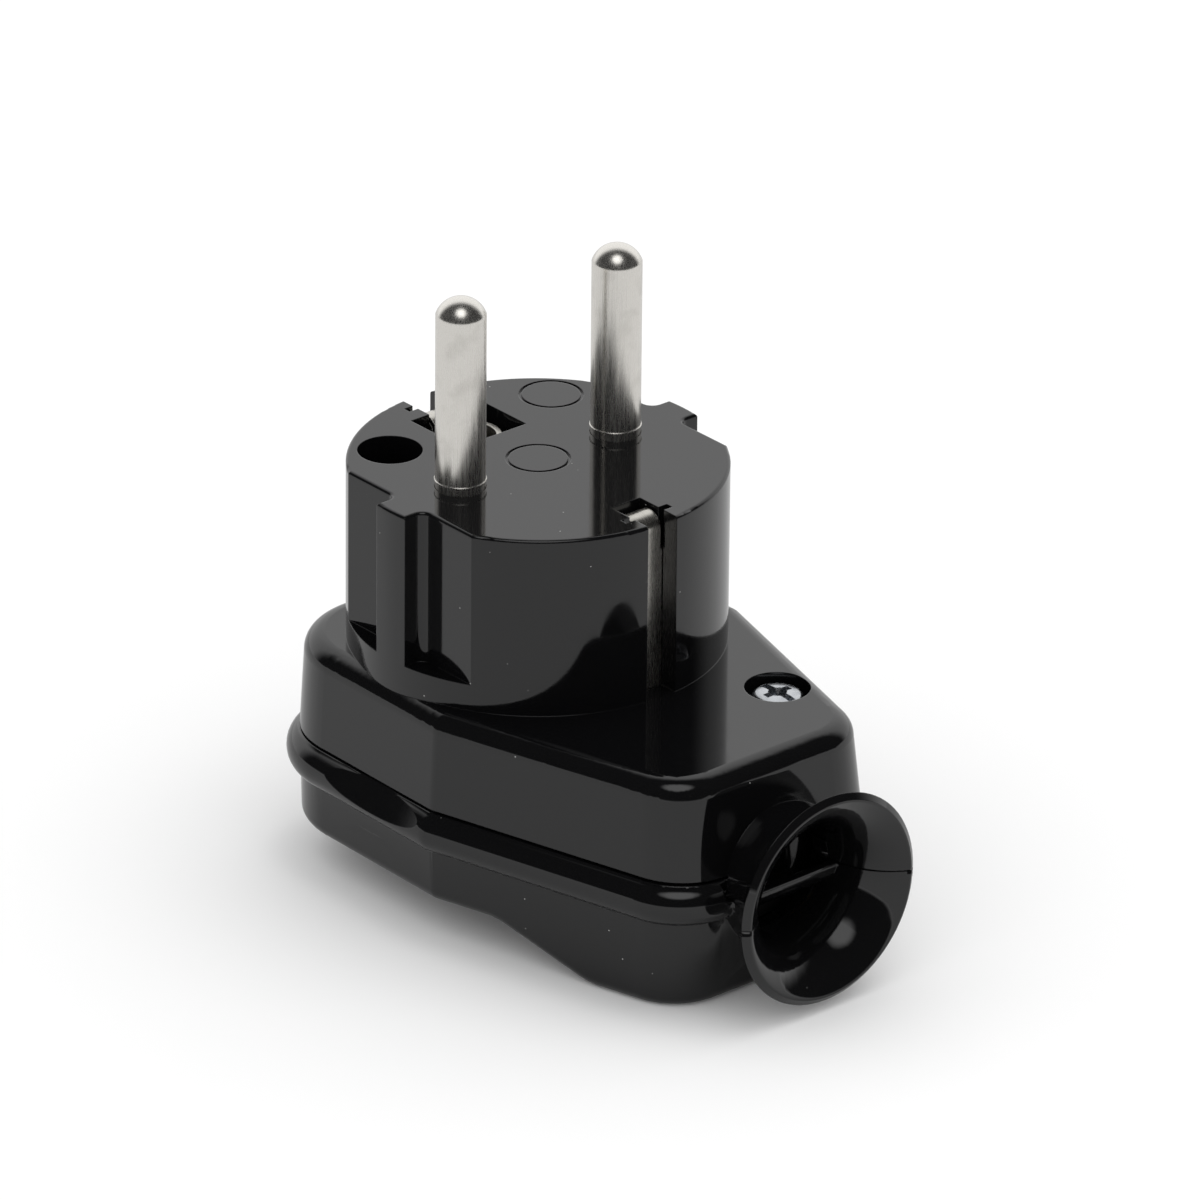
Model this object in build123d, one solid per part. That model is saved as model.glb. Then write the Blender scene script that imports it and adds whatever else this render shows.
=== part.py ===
from build123d import *
import math
import os

# Angled two-pin plug with a rocker switch in its back cover, lying on that cover.
# Millimetres. Origin midway between the pins on the contact face, +Z along the pins,
# +X towards the cord outlet, +Y from the line pin to the neutral pin.

# Heights along the pins
face_z = 0.0
body_h = 15.4
flange_h = 2.7
base_h = 9.65

# Round contact body
body_r = 18.05
rib_width = 4.1
rib_foot_r = 1.0
face_wall = 2.5
face_edge_r = 0.35
gate_ring_r = 2.95
mark_ring_r = 2.95
mark_ring_at = (-10.1, 10.1)
ring_width = 0.3
ring_depth = 0.2

# Base and back cover, plan outline at the split
wall = 2.0
side_ledge = 0.85
far_corner_r = 9.3
kink_x = 7.7
kink_ledge = 1.3
kink_r = 2.0
end_half = 11.8
end_corner_r = 6.4
base_draft = 3.0
base_end_draft = 8.0
back_draft = 1.2
back_end_draft = 5.6
base_edge_r = 2.0
back_edge_r = 1.3
ramp_length = 10.0
ramp_blend_r = 6.0

# Joint between the two shells
split_gap = 0.3
bead_proud = 1.25
bead_height = 4.2
bead_flat = 0.1
bead_notch = 0.8
scoop_x = -2.0
scoop_r = 20.0
scoop_depth = 1.3
scoop_tilt = 22.0
lip_wall = 1.0
lip_height = 1.1
lip_root = 2.0
fit = 0.1

# Cord outlet
outlet_drop = 2.05
outlet_seam = 0.12
outlet_neck_r = 7.1
outlet_neck_length = 0.4
outlet_length = 6.9
outlet_rim_r = 10.55
outlet_lip_length = 0.5
outlet_lip_r = 9.95
outlet_mouth_r = 9.75
outlet_edge_r = 0.08
throat_r = 5.6
throat_length = 0.5

# Pins
pin_pitch = 19.0
pin_r = 2.4
pin_shoulder_z = 17.6
pin_dome_h = 1.7
pin_collar_r = 2.62
pin_collar_h = 1.0
pin_bore_clearance = 0.05
pin_head_r = 3.9
pin_head_h = 1.5
pin_head_room = 0.25
pin_rivet_r = 1.5
pin_rivet_head_r = 2.2
pin_rivet_head_h = 1.0
tower_r = 4.4
tower_short = 1.1

# Earth contacts
strip_t = 0.8
strap_t = 0.6
strap_width = 5.4
strap_tip_width = 3.0
strap_bar_width = 3.5
strap_near_depth = 2.1
strap_far_depth = 1.8
strap_top_z = -0.4
strap_bend_r = 1.3
strap_tip_drop = 1.0
strap_foot_r = 0.6
slot_half = 1.75
slot_depth = 5.45
slot_tip_depth = 3.6
slot_behind = 0.7
guide_depth = 6.45
guide_half = 4.3
guide_clearance = 0.3
earth_x = -10.0
earth_bore_r = 2.5
earth_sleeve_wall = 0.55
earth_sleeve_top_z = -1.1
earth_sleeve_floor = 1.6
earth_rivet_r = 1.2
earth_rivet_head_r = 1.8
earth_rivet_head_h = 0.5
pocket_out = 3.9
pocket_in = 3.5
pocket_half = 4.0
pocket_wall = 1.1

# Fasteners
screw_r = 1.5
screw_hole_r = 1.75
thread_gap = 0.02
head_r = 2.45
head_h = 1.6
head_edge_r = 0.5
recess_width = 0.8
recess_depth = 0.9
nut_side = 5.5
nut_h = 1.8
nut_drop = 2.25
screw_past_nut = 1.2
well_at = (-10.2, -9.6)
well_r = 3.1
well_wall = 1.0
well_seat_rise = 3.75
well_end_rise = 1.25
base_screw_y = 9.8
base_counterbore_r = 3.15
base_screw_sunk = 0.45
base_boss_r = 4.4
boss_r = 3.7
tap_r = 1.25
tap_length = 7.0
post_r = 2.6
carrier_posts = ((-10.0, 9.8), (6.5, -12.5))

# Rocker switch
switch_x = 1.5
pole_y = 5.0
rocker_pivot_rise = 5.3
rocker_valley = 2.4
rocker_end_r = 9.5
rocker_width = 15.0
rocker_tilt = 8.0
rocker_inner = 1.2
rocker_edge_r = 0.5
rocker_gap = 0.3
trunnion_r = 1.4
trunnion_length = 1.2
trunnion_clearance = 0.05
collar_wall = 1.6
collar_corner_r = 1.2
collar_to_ramp = 1.0
cheek_rise = 3.0
stem_r = 2.3
stem_height = 5.2
plunger_r = 1.3
plunger_length = 5.0
plunger_clearance = 0.1
plunger_gap = 0.06
stem_floor = 1.6
spring_wire_r = 0.2
spring_pitch = 1.0

# Contact blades
blade_pivot_rise = 0.15
blade_tilt = 7.0
blade_width = 3.0
blade_t = 1.0
blade_groove = 0.4
blade_groove_half_angle = 55.0
blade_stop_arm = 7.4
blade_contact_arm = 7.6
blade_contact_tail = 1.4
rivet_r = 1.3
rivet_h = 0.6
contact_gap = 0.1
knife_r = 0.15
knife_gap = 0.05

# Carrier and terminals
carrier_t = 2.2
carrier_far_x = -15.6
carrier_past_terminal = 0.6
carrier_clearance = 0.6
shelf_h = 0.6
shelf_margin = 0.35
terminal_y = 8.0
terminal_side = 6.2
terminal_h = 7.0
terminal_wire_r = 1.7
terminal_screw_to_collar = 0.25
terminal_to_boss = 0.2
terminal_room = 1.25
earth_terminal_to_clamp = 1.2
link_start_x = 4.0
link_width = 3.5

# Cord clamp
clamp_to_screw = 5.7
clamp_to_end = 6.5
clamp_screw_y = 6.6
clamp_width = 4.2
clamp_half = 8.8
clamp_t = 3.0
clamp_post_r = 2.5
clamp_post_drop = 5.45
clamp_screw_length = 13.4
clamp_room = 1.4
cord_r = 4.1
cord_grip = 3.5
rib_thickness = 3.0

# Reach of the tools that cut right across the plug
spans = 200.0

# Worked-out heights
flange_top_z = face_z - body_h
base_top_z = flange_top_z - flange_h
base_inner_z = base_top_z - wall
split_z = base_top_z - base_h
back_top_z = split_z - split_gap
outlet_z = split_z - outlet_drop
nut_top_z = split_z - nut_drop
screw_tip_z = nut_top_z - nut_h - screw_past_nut
well_seat_z = split_z + well_seat_rise
well_end_z = split_z + well_end_rise
base_seat_z = base_top_z - base_screw_sunk - head_h
pin_tip_z = pin_shoulder_z + pin_dome_h
tower_end_z = base_top_z + tower_short
pin_head_z = tower_end_z - pin_head_h
eyelet_bottom_z = pin_head_z - strip_t
clamp_top_z = outlet_z - cord_grip
rib_end_z = outlet_z + cord_grip
clamp_post_end_z = split_z - clamp_post_drop
clamp_seat_z = clamp_top_z - clamp_t
clamp_screw_tip_z = clamp_seat_z + clamp_screw_length
rest_z = clamp_seat_z - head_h - clamp_room - wall

# Worked-out contact positions
blade_angle = math.radians(blade_tilt)
blade_under = blade_t - blade_groove
blade_pivot_z = split_z + blade_pivot_rise
made_contact_z = (
    blade_pivot_z
    + (blade_contact_arm + rivet_r) * math.sin(blade_angle)
    + (blade_groove + rivet_h) * math.cos(blade_angle)
    + contact_gap
)
made_contact_x = (
    switch_x
    + blade_contact_arm * math.cos(blade_angle)
    - (blade_groove + rivet_h) * math.sin(blade_angle)
)
load_strip_z = made_contact_z + rivet_h
shelf_z = load_strip_z + strip_t
carrier_bottom_z = shelf_z + shelf_h
carrier_top_z = carrier_bottom_z + carrier_t
bar_bottom_z = carrier_top_z + strip_t
bar_top_z = bar_bottom_z + strap_t
guide_end_z = bar_top_z + guide_clearance
terminal_screw_end_z = load_strip_z - terminal_h - 1.5 * head_h
far_back_z = terminal_screw_end_z - terminal_room - wall

# Worked-out places of the rocker
rocker_angle = math.radians(rocker_tilt)
rocker_pivot_z = rest_z + rocker_pivot_rise
cheek_top_z = rocker_pivot_z + cheek_rise
valley_depth = rocker_valley / math.cos(rocker_angle)
collar_half_x = rocker_end_r + rocker_gap + collar_wall
collar_half_y = rocker_width / 2 + rocker_gap + collar_wall
spring_seat_h = stem_floor - valley_depth
plunger_tip_h = blade_pivot_z - blade_under - plunger_gap - rocker_pivot_z

# Worked-out places across and along the plug
pin_y = pin_pitch / 2
flat_half = pin_y + pin_head_r + pin_head_room + wall
strap_near_x = body_r - strap_near_depth
strap_far_x = body_r - strap_far_depth
slot_inner_x = body_r - slot_depth
guide_inner_x = body_r - guide_depth
pocket_x = (earth_x - pocket_out, earth_x + pocket_in)
far_x = -body_r
far_half = body_r + side_ledge
kink_half = body_r + kink_ledge
terminal_x = switch_x + collar_half_x + terminal_screw_to_collar + head_r
terminal_end_x = terminal_x + terminal_side / 2
base_screw_at = (terminal_end_x + terminal_to_boss + base_boss_r, base_screw_y)
clamp_x = base_screw_at[0] + clamp_to_screw
earth_terminal_x = clamp_x - clamp_width / 2 - earth_terminal_to_clamp - terminal_side / 2
end_x = clamp_x + clamp_to_end
outlet_neck_end_x = end_x + outlet_neck_length
outlet_end_x = end_x + outlet_length
outlet_rim_x = outlet_end_x - outlet_lip_length
throat_end_x = end_x + throat_length
ramp_start_x = switch_x + collar_half_x + collar_to_ramp
ramp_end_x = ramp_start_x + ramp_length


def block(x, y, z):
    """Box between its low and high X, Y and Z."""
    middle = Pos(sum(x) / 2, sum(y) / 2, sum(z) / 2)
    return middle * Box(x[1] - x[0], y[1] - y[0], z[1] - z[0])


def rod(at, r, low, high):
    """Upright round bar between two heights."""
    return Pos(at[0], at[1], (low + high) / 2) * Cylinder(r, high - low)


def rod_x(y, z, r, low, high):
    """Round bar along X."""
    return Pos((low + high) / 2, y, z) * Rot(0, 90, 0) * Cylinder(r, high - low)


def rod_y(x, z, r, low, high):
    """Round bar along Y."""
    return Pos(x, (low + high) / 2, z) * Rot(90, 0, 0) * Cylinder(r, high - low)


def corners_at(plan, x):
    """Corners of a plan outline that lie on one X."""
    return [corner for corner in plan.vertices() if abs(corner.X - x) < 1e-4]


def base_plan(inset=0.0, end_inset=0.0):
    """Plan outline of the base at the split, moved in on all sides and further at the end."""
    far = (far_x + inset, inset - far_half)
    kink = (kink_x, inset - kink_half)
    end = (end_x - inset - end_inset, inset - end_half)
    half = [far, kink, end]
    plan = Polygon(*half, *[(x, -y) for x, y in reversed(half)], align=None)
    for corner, radius in ((far, far_corner_r), (kink, kink_r), (end, end_corner_r)):
        plan = fillet(corners_at(plan, corner[0]), max(radius - inset, kink_r))
    return plan


def walls_up(plan, low, high, draft):
    """Block on a plan outline that narrows upwards."""
    return extrude(Pos(0, 0, low) * plan, high - low, taper=draft)


def walls_down(plan, high, low, draft):
    """Block under a plan outline that narrows downwards."""
    return extrude(Pos(0, 0, high) * plan, high - low, dir=(0, 0, -1), taper=draft)


def drafted(inset, start, end, draft, end_draft):
    """Block from one height to another that narrows, with its end wall leaning more."""
    height = abs(end - start)
    narrower = height * math.tan(math.radians(draft))
    shorter = height * math.tan(math.radians(end_draft)) - narrower
    sections = {start: base_plan(inset), end: base_plan(inset + narrower, shorter)}
    return loft([Pos(0, 0, z) * sections[z] for z in sorted(sections)], ruled=True)


def base_block(inset, high):
    """Block of the base from the split up."""
    return drafted(inset, split_z, high, base_draft, base_end_draft)


def cover_block(inset):
    """Block of the back cover from the split down, as deep as its cord end."""
    return drafted(inset, back_top_z, rest_z, back_draft, back_end_draft)


def body_plan():
    """Disc with two flats, and a rib on each flat out to the disc's edge."""
    plan = Circle(body_r) & (
        Rectangle(2 * body_r, 2 * flat_half) + Rectangle(rib_width, 2 * body_r)
    )
    feet = [v for v in corners_at(plan, rib_width / 2) + corners_at(plan, -rib_width / 2)
            if abs(abs(v.Y) - flat_half) < 1e-4]
    return fillet(feet, min(rib_foot_r, 0.45 * (body_r - flat_half)))


def horn(neck_r, neck_x, mouth_r, mouth_x, start_x):
    """Solid horn about the cord's axis, a straight neck and a flare tangent to it."""
    flare = TangentArc((neck_x, neck_r), (mouth_x, mouth_r), tangent=(1, 0))
    rest = Polyline((neck_x, neck_r), (start_x, neck_r), (start_x, 0), (mouth_x, 0), (mouth_x, mouth_r))
    profile = Plane.XZ * Pos(0, outlet_z) * make_face(flare + rest)
    return revolve(profile, Axis((0, 0, outlet_z), (1, 0, 0)))


def outlet():
    """Bell mouth for the cord as one ring, before it is shared between the shells."""
    ring = horn(outlet_neck_r, outlet_neck_end_x, outlet_rim_r, outlet_rim_x, end_x - 2 * wall)
    lip = Cone(outlet_rim_r, outlet_lip_r, outlet_lip_length)
    ring += Pos((outlet_rim_x + outlet_end_x) / 2, 0, outlet_z) * Rot(0, 90, 0) * lip
    ring -= horn(throat_r, throat_end_x, outlet_mouth_r, outlet_end_x, end_x - 3 * wall)
    front = ring.faces().sort_by(Axis.X)[-1]
    return fillet(front.edges(), outlet_edge_r)


def throat():
    """Passage for the cord through the end walls."""
    return rod_x(0, outlet_z, throat_r, end_x - 2 * wall, throat_end_x)


def everywhere(low, high, low_x=-spans):
    """Slab between two heights that reaches past the plug, from one X on."""
    return block((low_x, spans), (-spans, spans), (low, high))


def front_share():
    """Space of the front shell: above the split, and above the cord's axis past the end wall."""
    return everywhere(split_z, spans) + everywhere(outlet_z + outlet_seam / 2, split_z, end_x + outlet_seam)


def back_share():
    """Space of the back shell: below the split, and below the cord's axis past the end wall."""
    return everywhere(-spans, back_top_z) - everywhere(outlet_z - outlet_seam / 2, spans, end_x)


def front_skin():
    """Outside of the front shell."""
    base = base_block(0, base_top_z)
    base = fillet(base.faces().sort_by(Axis.Z)[-1].edges(), base_edge_r)
    body = extrude(Pos(0, 0, flange_top_z) * body_plan(), face_z - flange_top_z)
    body = fillet(body.faces().sort_by(Axis.Z)[-1].edges(), face_edge_r)
    flange = rod((0, 0), body_r, split_z, flange_top_z)
    return base + body + flange + (outlet() & front_share())


def front_inside(share):
    """Inside of the front shell's skin, down to a share of the walls' thickness."""
    depth = wall * share
    roof = face_z - face_wall * share
    base = base_block(depth, base_top_z - depth)
    plan = Circle(body_r - depth) & Rectangle(2 * body_r, 2 * (flat_half - depth))
    return base + extrude(Pos(0, 0, base_inner_z) * plan, roof - base_inner_z)


def guide(side):
    """Block in the body's wall that holds one side contact."""
    near = side * guide_inner_x
    far = side * spans
    return block(sorted((near, far)), (-guide_half, guide_half), (guide_end_z, face_z))


def front_posts():
    """Towers, bosses, posts and ribs inside the front shell."""
    roof = face_z
    posts = guide(1) + guide(-1)
    for y in (-pin_y, pin_y):
        posts += rod((0, y), tower_r, tower_end_z, roof)
    wide = (pocket_x[0], pocket_x[1] + pocket_wall)
    deep = pocket_half + pocket_wall
    posts += block(wide, (-deep, deep), (guide_end_z, roof))
    posts += rod(well_at, well_r + well_wall, well_end_z, roof)
    for at in carrier_posts:
        posts += rod(at, post_r, carrier_top_z, roof)
    posts += rod(base_screw_at, base_boss_r, split_z, base_top_z)
    for y in (-clamp_screw_y, clamp_screw_y):
        posts += rod((clamp_x, y), clamp_post_r, clamp_post_end_z, base_top_z)
    ribs = (clamp_x - rib_thickness / 2, clamp_x + rib_thickness / 2)
    return posts + block(ribs, (-clamp_screw_y, clamp_screw_y), (rib_end_z, base_top_z))


def side_slot(side, strap_x):
    """Slot over one side contact, with the undercuts that hold the strip's edges."""
    outside = side * (body_r + 1)
    behind = side * (strap_x - strap_t - slot_behind)
    lane = (-slot_half, slot_half)
    slot = block(sorted((behind, outside)), lane, (base_top_z, face_z + 1))
    mouth = block(sorted((side * slot_inner_x, outside)), lane, (-slot_tip_depth, face_z + 1))
    edge = strap_width / 2 + fit
    strip = (side * (strap_x - strap_t - fit), side * (strap_x + fit))
    return slot + mouth + block(sorted(strip), (-edge, edge), (bar_bottom_z, face_z + 1))


def front_cuts():
    """Holes and slots of the front shell."""
    cuts = side_slot(1, strap_near_x) + side_slot(-1, strap_far_x)
    for y in (-pin_y, pin_y):
        cuts += rod((0, y), pin_r + pin_bore_clearance, tower_end_z, face_z + 1)
    cuts += block(pocket_x, (-pocket_half, pocket_half), (guide_end_z, face_z + 1))
    cuts += block((-body_r - 1, pocket_x[0]), (-slot_half, slot_half), (-slot_tip_depth, face_z + 1))
    cuts += rod(well_at, well_r, well_seat_z, face_z + 1)
    cuts += rod(well_at, screw_hole_r, well_end_z, well_seat_z)
    for at in carrier_posts:
        cuts += rod(at, tap_r + thread_gap, carrier_top_z, carrier_top_z + tap_length)
    cuts += rod(base_screw_at, base_counterbore_r, base_seat_z, base_top_z + 1)
    cuts += rod(base_screw_at, screw_hole_r, split_z, base_seat_z)
    for y in (-clamp_screw_y, clamp_screw_y):
        cuts += rod((clamp_x, y), screw_r + thread_gap, clamp_post_end_z, clamp_screw_tip_z)
    for at, radius in (((0, 0), gate_ring_r), (mark_ring_at, mark_ring_r)):
        ring = rod(at, radius + ring_width / 2, face_z - ring_depth, face_z + 1)
        cuts += ring - rod(at, radius - ring_width / 2, face_z - ring_depth, face_z + 1)
    cuts += rod_x(0, outlet_z, cord_r, clamp_x - wall, clamp_x + wall)
    return cuts + throat()


def front_shell():
    posts = front_posts()
    shell = front_skin() - front_inside(1)
    shell += posts & front_inside(1 / 2)
    shell += posts & everywhere(-spans, split_z)
    return shell - front_cuts()


def back_profile(lift):
    """Side view of the back cover below the split, with its floor raised by lift."""
    corners = [
        (-spans, back_top_z),
        (-spans, far_back_z + lift),
        (ramp_start_x, far_back_z + lift),
        (ramp_end_x, rest_z + lift),
        (spans, rest_z + lift),
        (spans, back_top_z),
    ]
    side = Polygon(*corners, align=None)
    bends = corners_at(side, ramp_start_x) + corners_at(side, ramp_end_x)
    return extrude(Plane.XZ * fillet(bends, ramp_blend_r), spans, both=True)


def back_skin():
    """Outside of the back shell."""
    cover = cover_block(0) & back_profile(0)
    floors = [f for f in cover.faces() if f.normal_at().Z < -0.5]
    edges = [e for f in floors for e in f.edges() if abs(e.tangent_at(0.5).Y) < 0.999 or e.is_closed]
    rim = [e for e in edges if not spans_two(e, floors)]
    cover = fillet(rim, back_edge_r)
    bead = walls_down(base_plan(-bead_proud), back_top_z, back_top_z - bead_height, 0)
    ends = bead.faces().sort_by(Axis.Z)
    bead = fillet(ends[0].edges() + ends[-1].edges(), (bead_height - bead_flat) / 2)
    neck = rod_x(0, outlet_z, outlet_neck_r + bead_notch, end_x, end_x + 2 * bead_proud)
    bead -= neck & everywhere(outlet_z - outlet_seam / 2, spans)
    skin = cover + (outlet() & back_share()) + bead
    collar = block(
        (switch_x - collar_half_x, switch_x + collar_half_x),
        (-collar_half_y, collar_half_y),
        (rest_z, cheek_top_z),
    )
    return skin, fillet(collar.edges().filter_by(Axis.Z), collar_corner_r)


def spans_two(edge, faces):
    """Whether an edge is shared by two of the faces."""
    middle = edge.position_at(0.5)
    return sum(1 for face in faces if face.distance_to(middle) < 1e-5) > 1


def scoop(side):
    """Finger scoop in the bead."""
    middle_y = side * ((far_half + kink_half) / 2 + bead_proud - scoop_depth + scoop_r)
    tool = Rot(side * scoop_tilt, 0, 0) * Cylinder(scoop_r, 2 * bead_height)
    return Pos(scoop_x, middle_y, back_top_z - bead_height / 2) * tool


def lip():
    """Tongue on the back shell that fits inside the front shell's wall."""
    outer = wall + fit
    inner = outer + lip_wall
    low = back_top_z - lip_root
    high = split_z + lip_height
    ring = walls_up(base_plan(outer), low, split_z, 0) + base_block(outer, high)
    ring += walls_up(base_plan(wall / 2), low, back_top_z - split_gap, 0)
    ring -= walls_up(base_plan(inner), low, split_z, 0) + base_block(inner, high)
    keep_out = rod(base_screw_at, base_boss_r + split_gap, back_top_z, high)
    for y in (-clamp_screw_y, clamp_screw_y):
        keep_out += rod((clamp_x, y), clamp_post_r + split_gap, clamp_post_end_z, high)
    passage = block((clamp_x, end_x), (-outlet_neck_r, outlet_neck_r), (-spans, face_z))
    return ring - keep_out - passage


def back_bosses():
    """Screw bosses inside the back shell."""
    return rod(well_at, boss_r, rest_z, well_end_z) + rod(base_screw_at, boss_r, rest_z, split_z)


def back_inside(share):
    """Inside of the back shell's skin, down to a share of the walls' thickness."""
    depth = wall * share
    return cover_block(depth) & back_profile(depth)


def back_cuts():
    """Holes of the back shell."""
    bore_x = rocker_end_r + rocker_gap
    bore_y = rocker_width / 2 + rocker_gap
    cuts = block((switch_x - bore_x, switch_x + bore_x), (-bore_y, bore_y), (rest_z - 1, cheek_top_z + 1))
    deep = rocker_width / 2 + trunnion_length + rocker_gap
    cuts += rod_y(switch_x, rocker_pivot_z, trunnion_r + trunnion_clearance, -deep, deep)
    pocket = nut_side / 2 + fit
    for at in (well_at, base_screw_at):
        cuts += rod(at, screw_hole_r, screw_tip_z - 1, face_z)
        inward = at[1] - math.copysign(boss_r + 1, at[1])
        outward = at[1] + math.copysign(pocket, at[1])
        heights = (nut_top_z - nut_h - fit, nut_top_z)
        cuts += block((at[0] - pocket, at[0] + pocket), sorted((inward, outward)), heights)
    return cuts + throat()


def back_shell():
    skin, collar = back_skin()
    skin -= scoop(1)
    skin -= scoop(-1)
    bosses = back_bosses()
    shell = skin - back_inside(1) + collar + (bosses & back_inside(1 / 2))
    shell += bosses & everywhere(back_top_z, spans)
    shell += lip()
    return shell - back_cuts()


def pin(y):
    """Contact pin with its head and the rivet that holds the strip."""
    shank = rod((0, y), pin_r, tower_end_z, pin_shoulder_z)
    dome_r = (pin_r**2 + pin_dome_h**2) / (2 * pin_dome_h)
    dome = Pos(0, y, pin_tip_z - dome_r) * Sphere(dome_r)
    dome &= rod((0, y), pin_r + 1, pin_shoulder_z, pin_tip_z + 1)
    collar = rod((0, y), pin_collar_r, face_z, pin_collar_h)
    head = rod((0, y), pin_head_r, pin_head_z, tower_end_z)
    rivet = rod((0, y), pin_rivet_r, eyelet_bottom_z, pin_head_z)
    rivet += rod((0, y), pin_rivet_head_r, eyelet_bottom_z - pin_rivet_head_h, eyelet_bottom_z)
    return shank + dome + collar + head + rivet


def strap_side(side, x):
    """Centre line of the strap from the middle out to one contact's tip."""
    leg = side * (x - strap_t / 2)
    top = strap_top_z - strap_t / 2
    bar = (bar_top_z + bar_bottom_z) / 2
    tip = side * (x - strap_t / 2 - 2 * strap_bend_r)
    return [(0, bar), (leg, bar), (leg, top), (tip, top), (tip, top - strap_bend_r - strap_tip_drop)]


def earth_strap():
    """Bent strip with a contact at each side of the body."""
    radii = [strap_foot_r, strap_bend_r * 0.98, strap_bend_r * 0.98]
    near = FilletPolyline(*strap_side(1, strap_near_x), radius=radii)
    far = FilletPolyline(*strap_side(-1, strap_far_x), radius=radii)
    side_view = trace(near, strap_t) + trace(far, strap_t)
    strip = extrude(Plane.XZ * side_view, strap_width / 2, both=True)
    tip_z = strap_top_z - slot_tip_depth
    for side in (-1, 1):
        beside_tip = sorted((side * strap_tip_width / 2, side * strap_width))
        strip -= block((-spans, spans), beside_tip, (tip_z, face_z))
        beside_bar = sorted((side * strap_bar_width / 2, side * strap_width))
        strip -= block((-guide_inner_x, guide_inner_x), beside_bar, (bar_bottom_z, bar_top_z))
    return strip - rod((earth_x, 0), earth_rivet_r, bar_bottom_z, bar_top_z)


def earth_socket():
    """Sleeve for the earthing pin, riveted to the strap."""
    outer_r = earth_bore_r + earth_sleeve_wall
    sleeve = rod((earth_x, 0), outer_r, bar_top_z, earth_sleeve_top_z)
    sleeve -= rod((earth_x, 0), earth_bore_r, bar_top_z + earth_sleeve_floor, earth_sleeve_top_z)
    sleeve += rod((earth_x, 0), earth_rivet_r, bar_bottom_z, bar_top_z)
    head_low = bar_bottom_z - earth_rivet_head_h
    return sleeve + rod((earth_x, 0), earth_rivet_head_r, head_low, bar_bottom_z)


def screw(at, seat_z, tip_z, shank_r=screw_r):
    """Pan-head screw with a combined recess; its head is away from its tip."""
    up = math.copysign(1, seat_z - tip_z)
    top = seat_z + up * head_h
    head = rod(at, head_r, *sorted((seat_z, top)))
    rim = head.faces().sort_by(Axis.Z)[-1 if up > 0 else 0].edges()
    head = fillet(rim, head_edge_r)
    long = head_r * 0.8
    short = recess_width / 2
    depth = sorted((top - up * recess_depth, top + up))
    for x, y in ((long, short), (short, long * 0.7)):
        head -= block((at[0] - x, at[0] + x), (at[1] - y, at[1] + y), depth)
    return head + rod(at, shank_r, *sorted((tip_z, seat_z)))


def shell_screws():
    deep = screw(well_at, well_seat_z, screw_tip_z)
    return Compound(children=[deep, screw(base_screw_at, base_seat_z, screw_tip_z)])


def shell_nuts():
    nuts = []
    for at in (well_at, base_screw_at):
        nut = Pos(at[0], at[1], nut_top_z - nut_h / 2) * Box(nut_side, nut_side, nut_h)
        nuts.append(nut - rod(at, screw_r + thread_gap, nut_top_z - nut_h, nut_top_z))
    return Compound(children=nuts)


def contact_carrier():
    """Insulating plate behind the pins that carries the contacts and terminals."""
    plate = walls_up(base_plan(wall + carrier_clearance), carrier_bottom_z, carrier_top_z, 0)
    reach = (carrier_far_x, terminal_end_x + carrier_past_terminal)
    plate &= block(reach, (-spans, spans), (-spans, spans))
    half = blade_width / 2
    for side in (-1, 1):
        plate += rod((0, side * pin_y), pin_head_r, carrier_top_z, eyelet_bottom_z)
        shelf_y = (side * (pole_y - half - shelf_margin), side * (terminal_y + terminal_side / 2))
        shelf_x = (made_contact_x - rivet_r - shelf_margin, terminal_end_x)
        plate += block(shelf_x, sorted(shelf_y), (shelf_z, carrier_bottom_z))
        stop_x = switch_x - blade_stop_arm
        stop_y = (side * (pole_y - half), side * (pole_y + half))
        plate += block((stop_x, stop_x + blade_width), sorted(stop_y), (stop_z(), carrier_bottom_z))
    for side in (-1, 1):
        hole_r = pin_rivet_head_r + carrier_clearance
        plate -= rod((0, side * pin_y), hole_r, carrier_bottom_z, eyelet_bottom_z)
        leg_x = (switch_x - half - fit, switch_x + half + fit)
        leg_y = (side * (pole_y - strip_t / 2 - fit), side * (pole_y + strip_t / 2 + fit))
        plate -= block(leg_x, sorted(leg_y), (carrier_bottom_z, carrier_top_z))
    plate -= rod((earth_x, 0), earth_rivet_head_r + fit, carrier_top_z - earth_rivet_head_h, carrier_top_z)
    plate -= rod(well_at, well_r + well_wall + carrier_clearance, -spans, spans)
    plate -= rod(base_screw_at, base_boss_r + carrier_clearance, -spans, spans)
    for at in carrier_posts:
        plate -= rod(at, tap_r + fit, carrier_bottom_z, carrier_top_z)
        plate -= rod(at, head_r + carrier_clearance, -spans, carrier_bottom_z)
    return plate


def stop_z():
    """Height of the stops that the blades rest on when the switch is off."""
    arm = blade_stop_arm * math.sin(blade_angle) + blade_groove * math.cos(blade_angle)
    return blade_pivot_z + arm + contact_gap


def carrier_screws():
    tip = carrier_top_z + tap_length
    return Compound(children=[screw(at, carrier_bottom_z, tip, tap_r) for at in carrier_posts])


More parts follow.
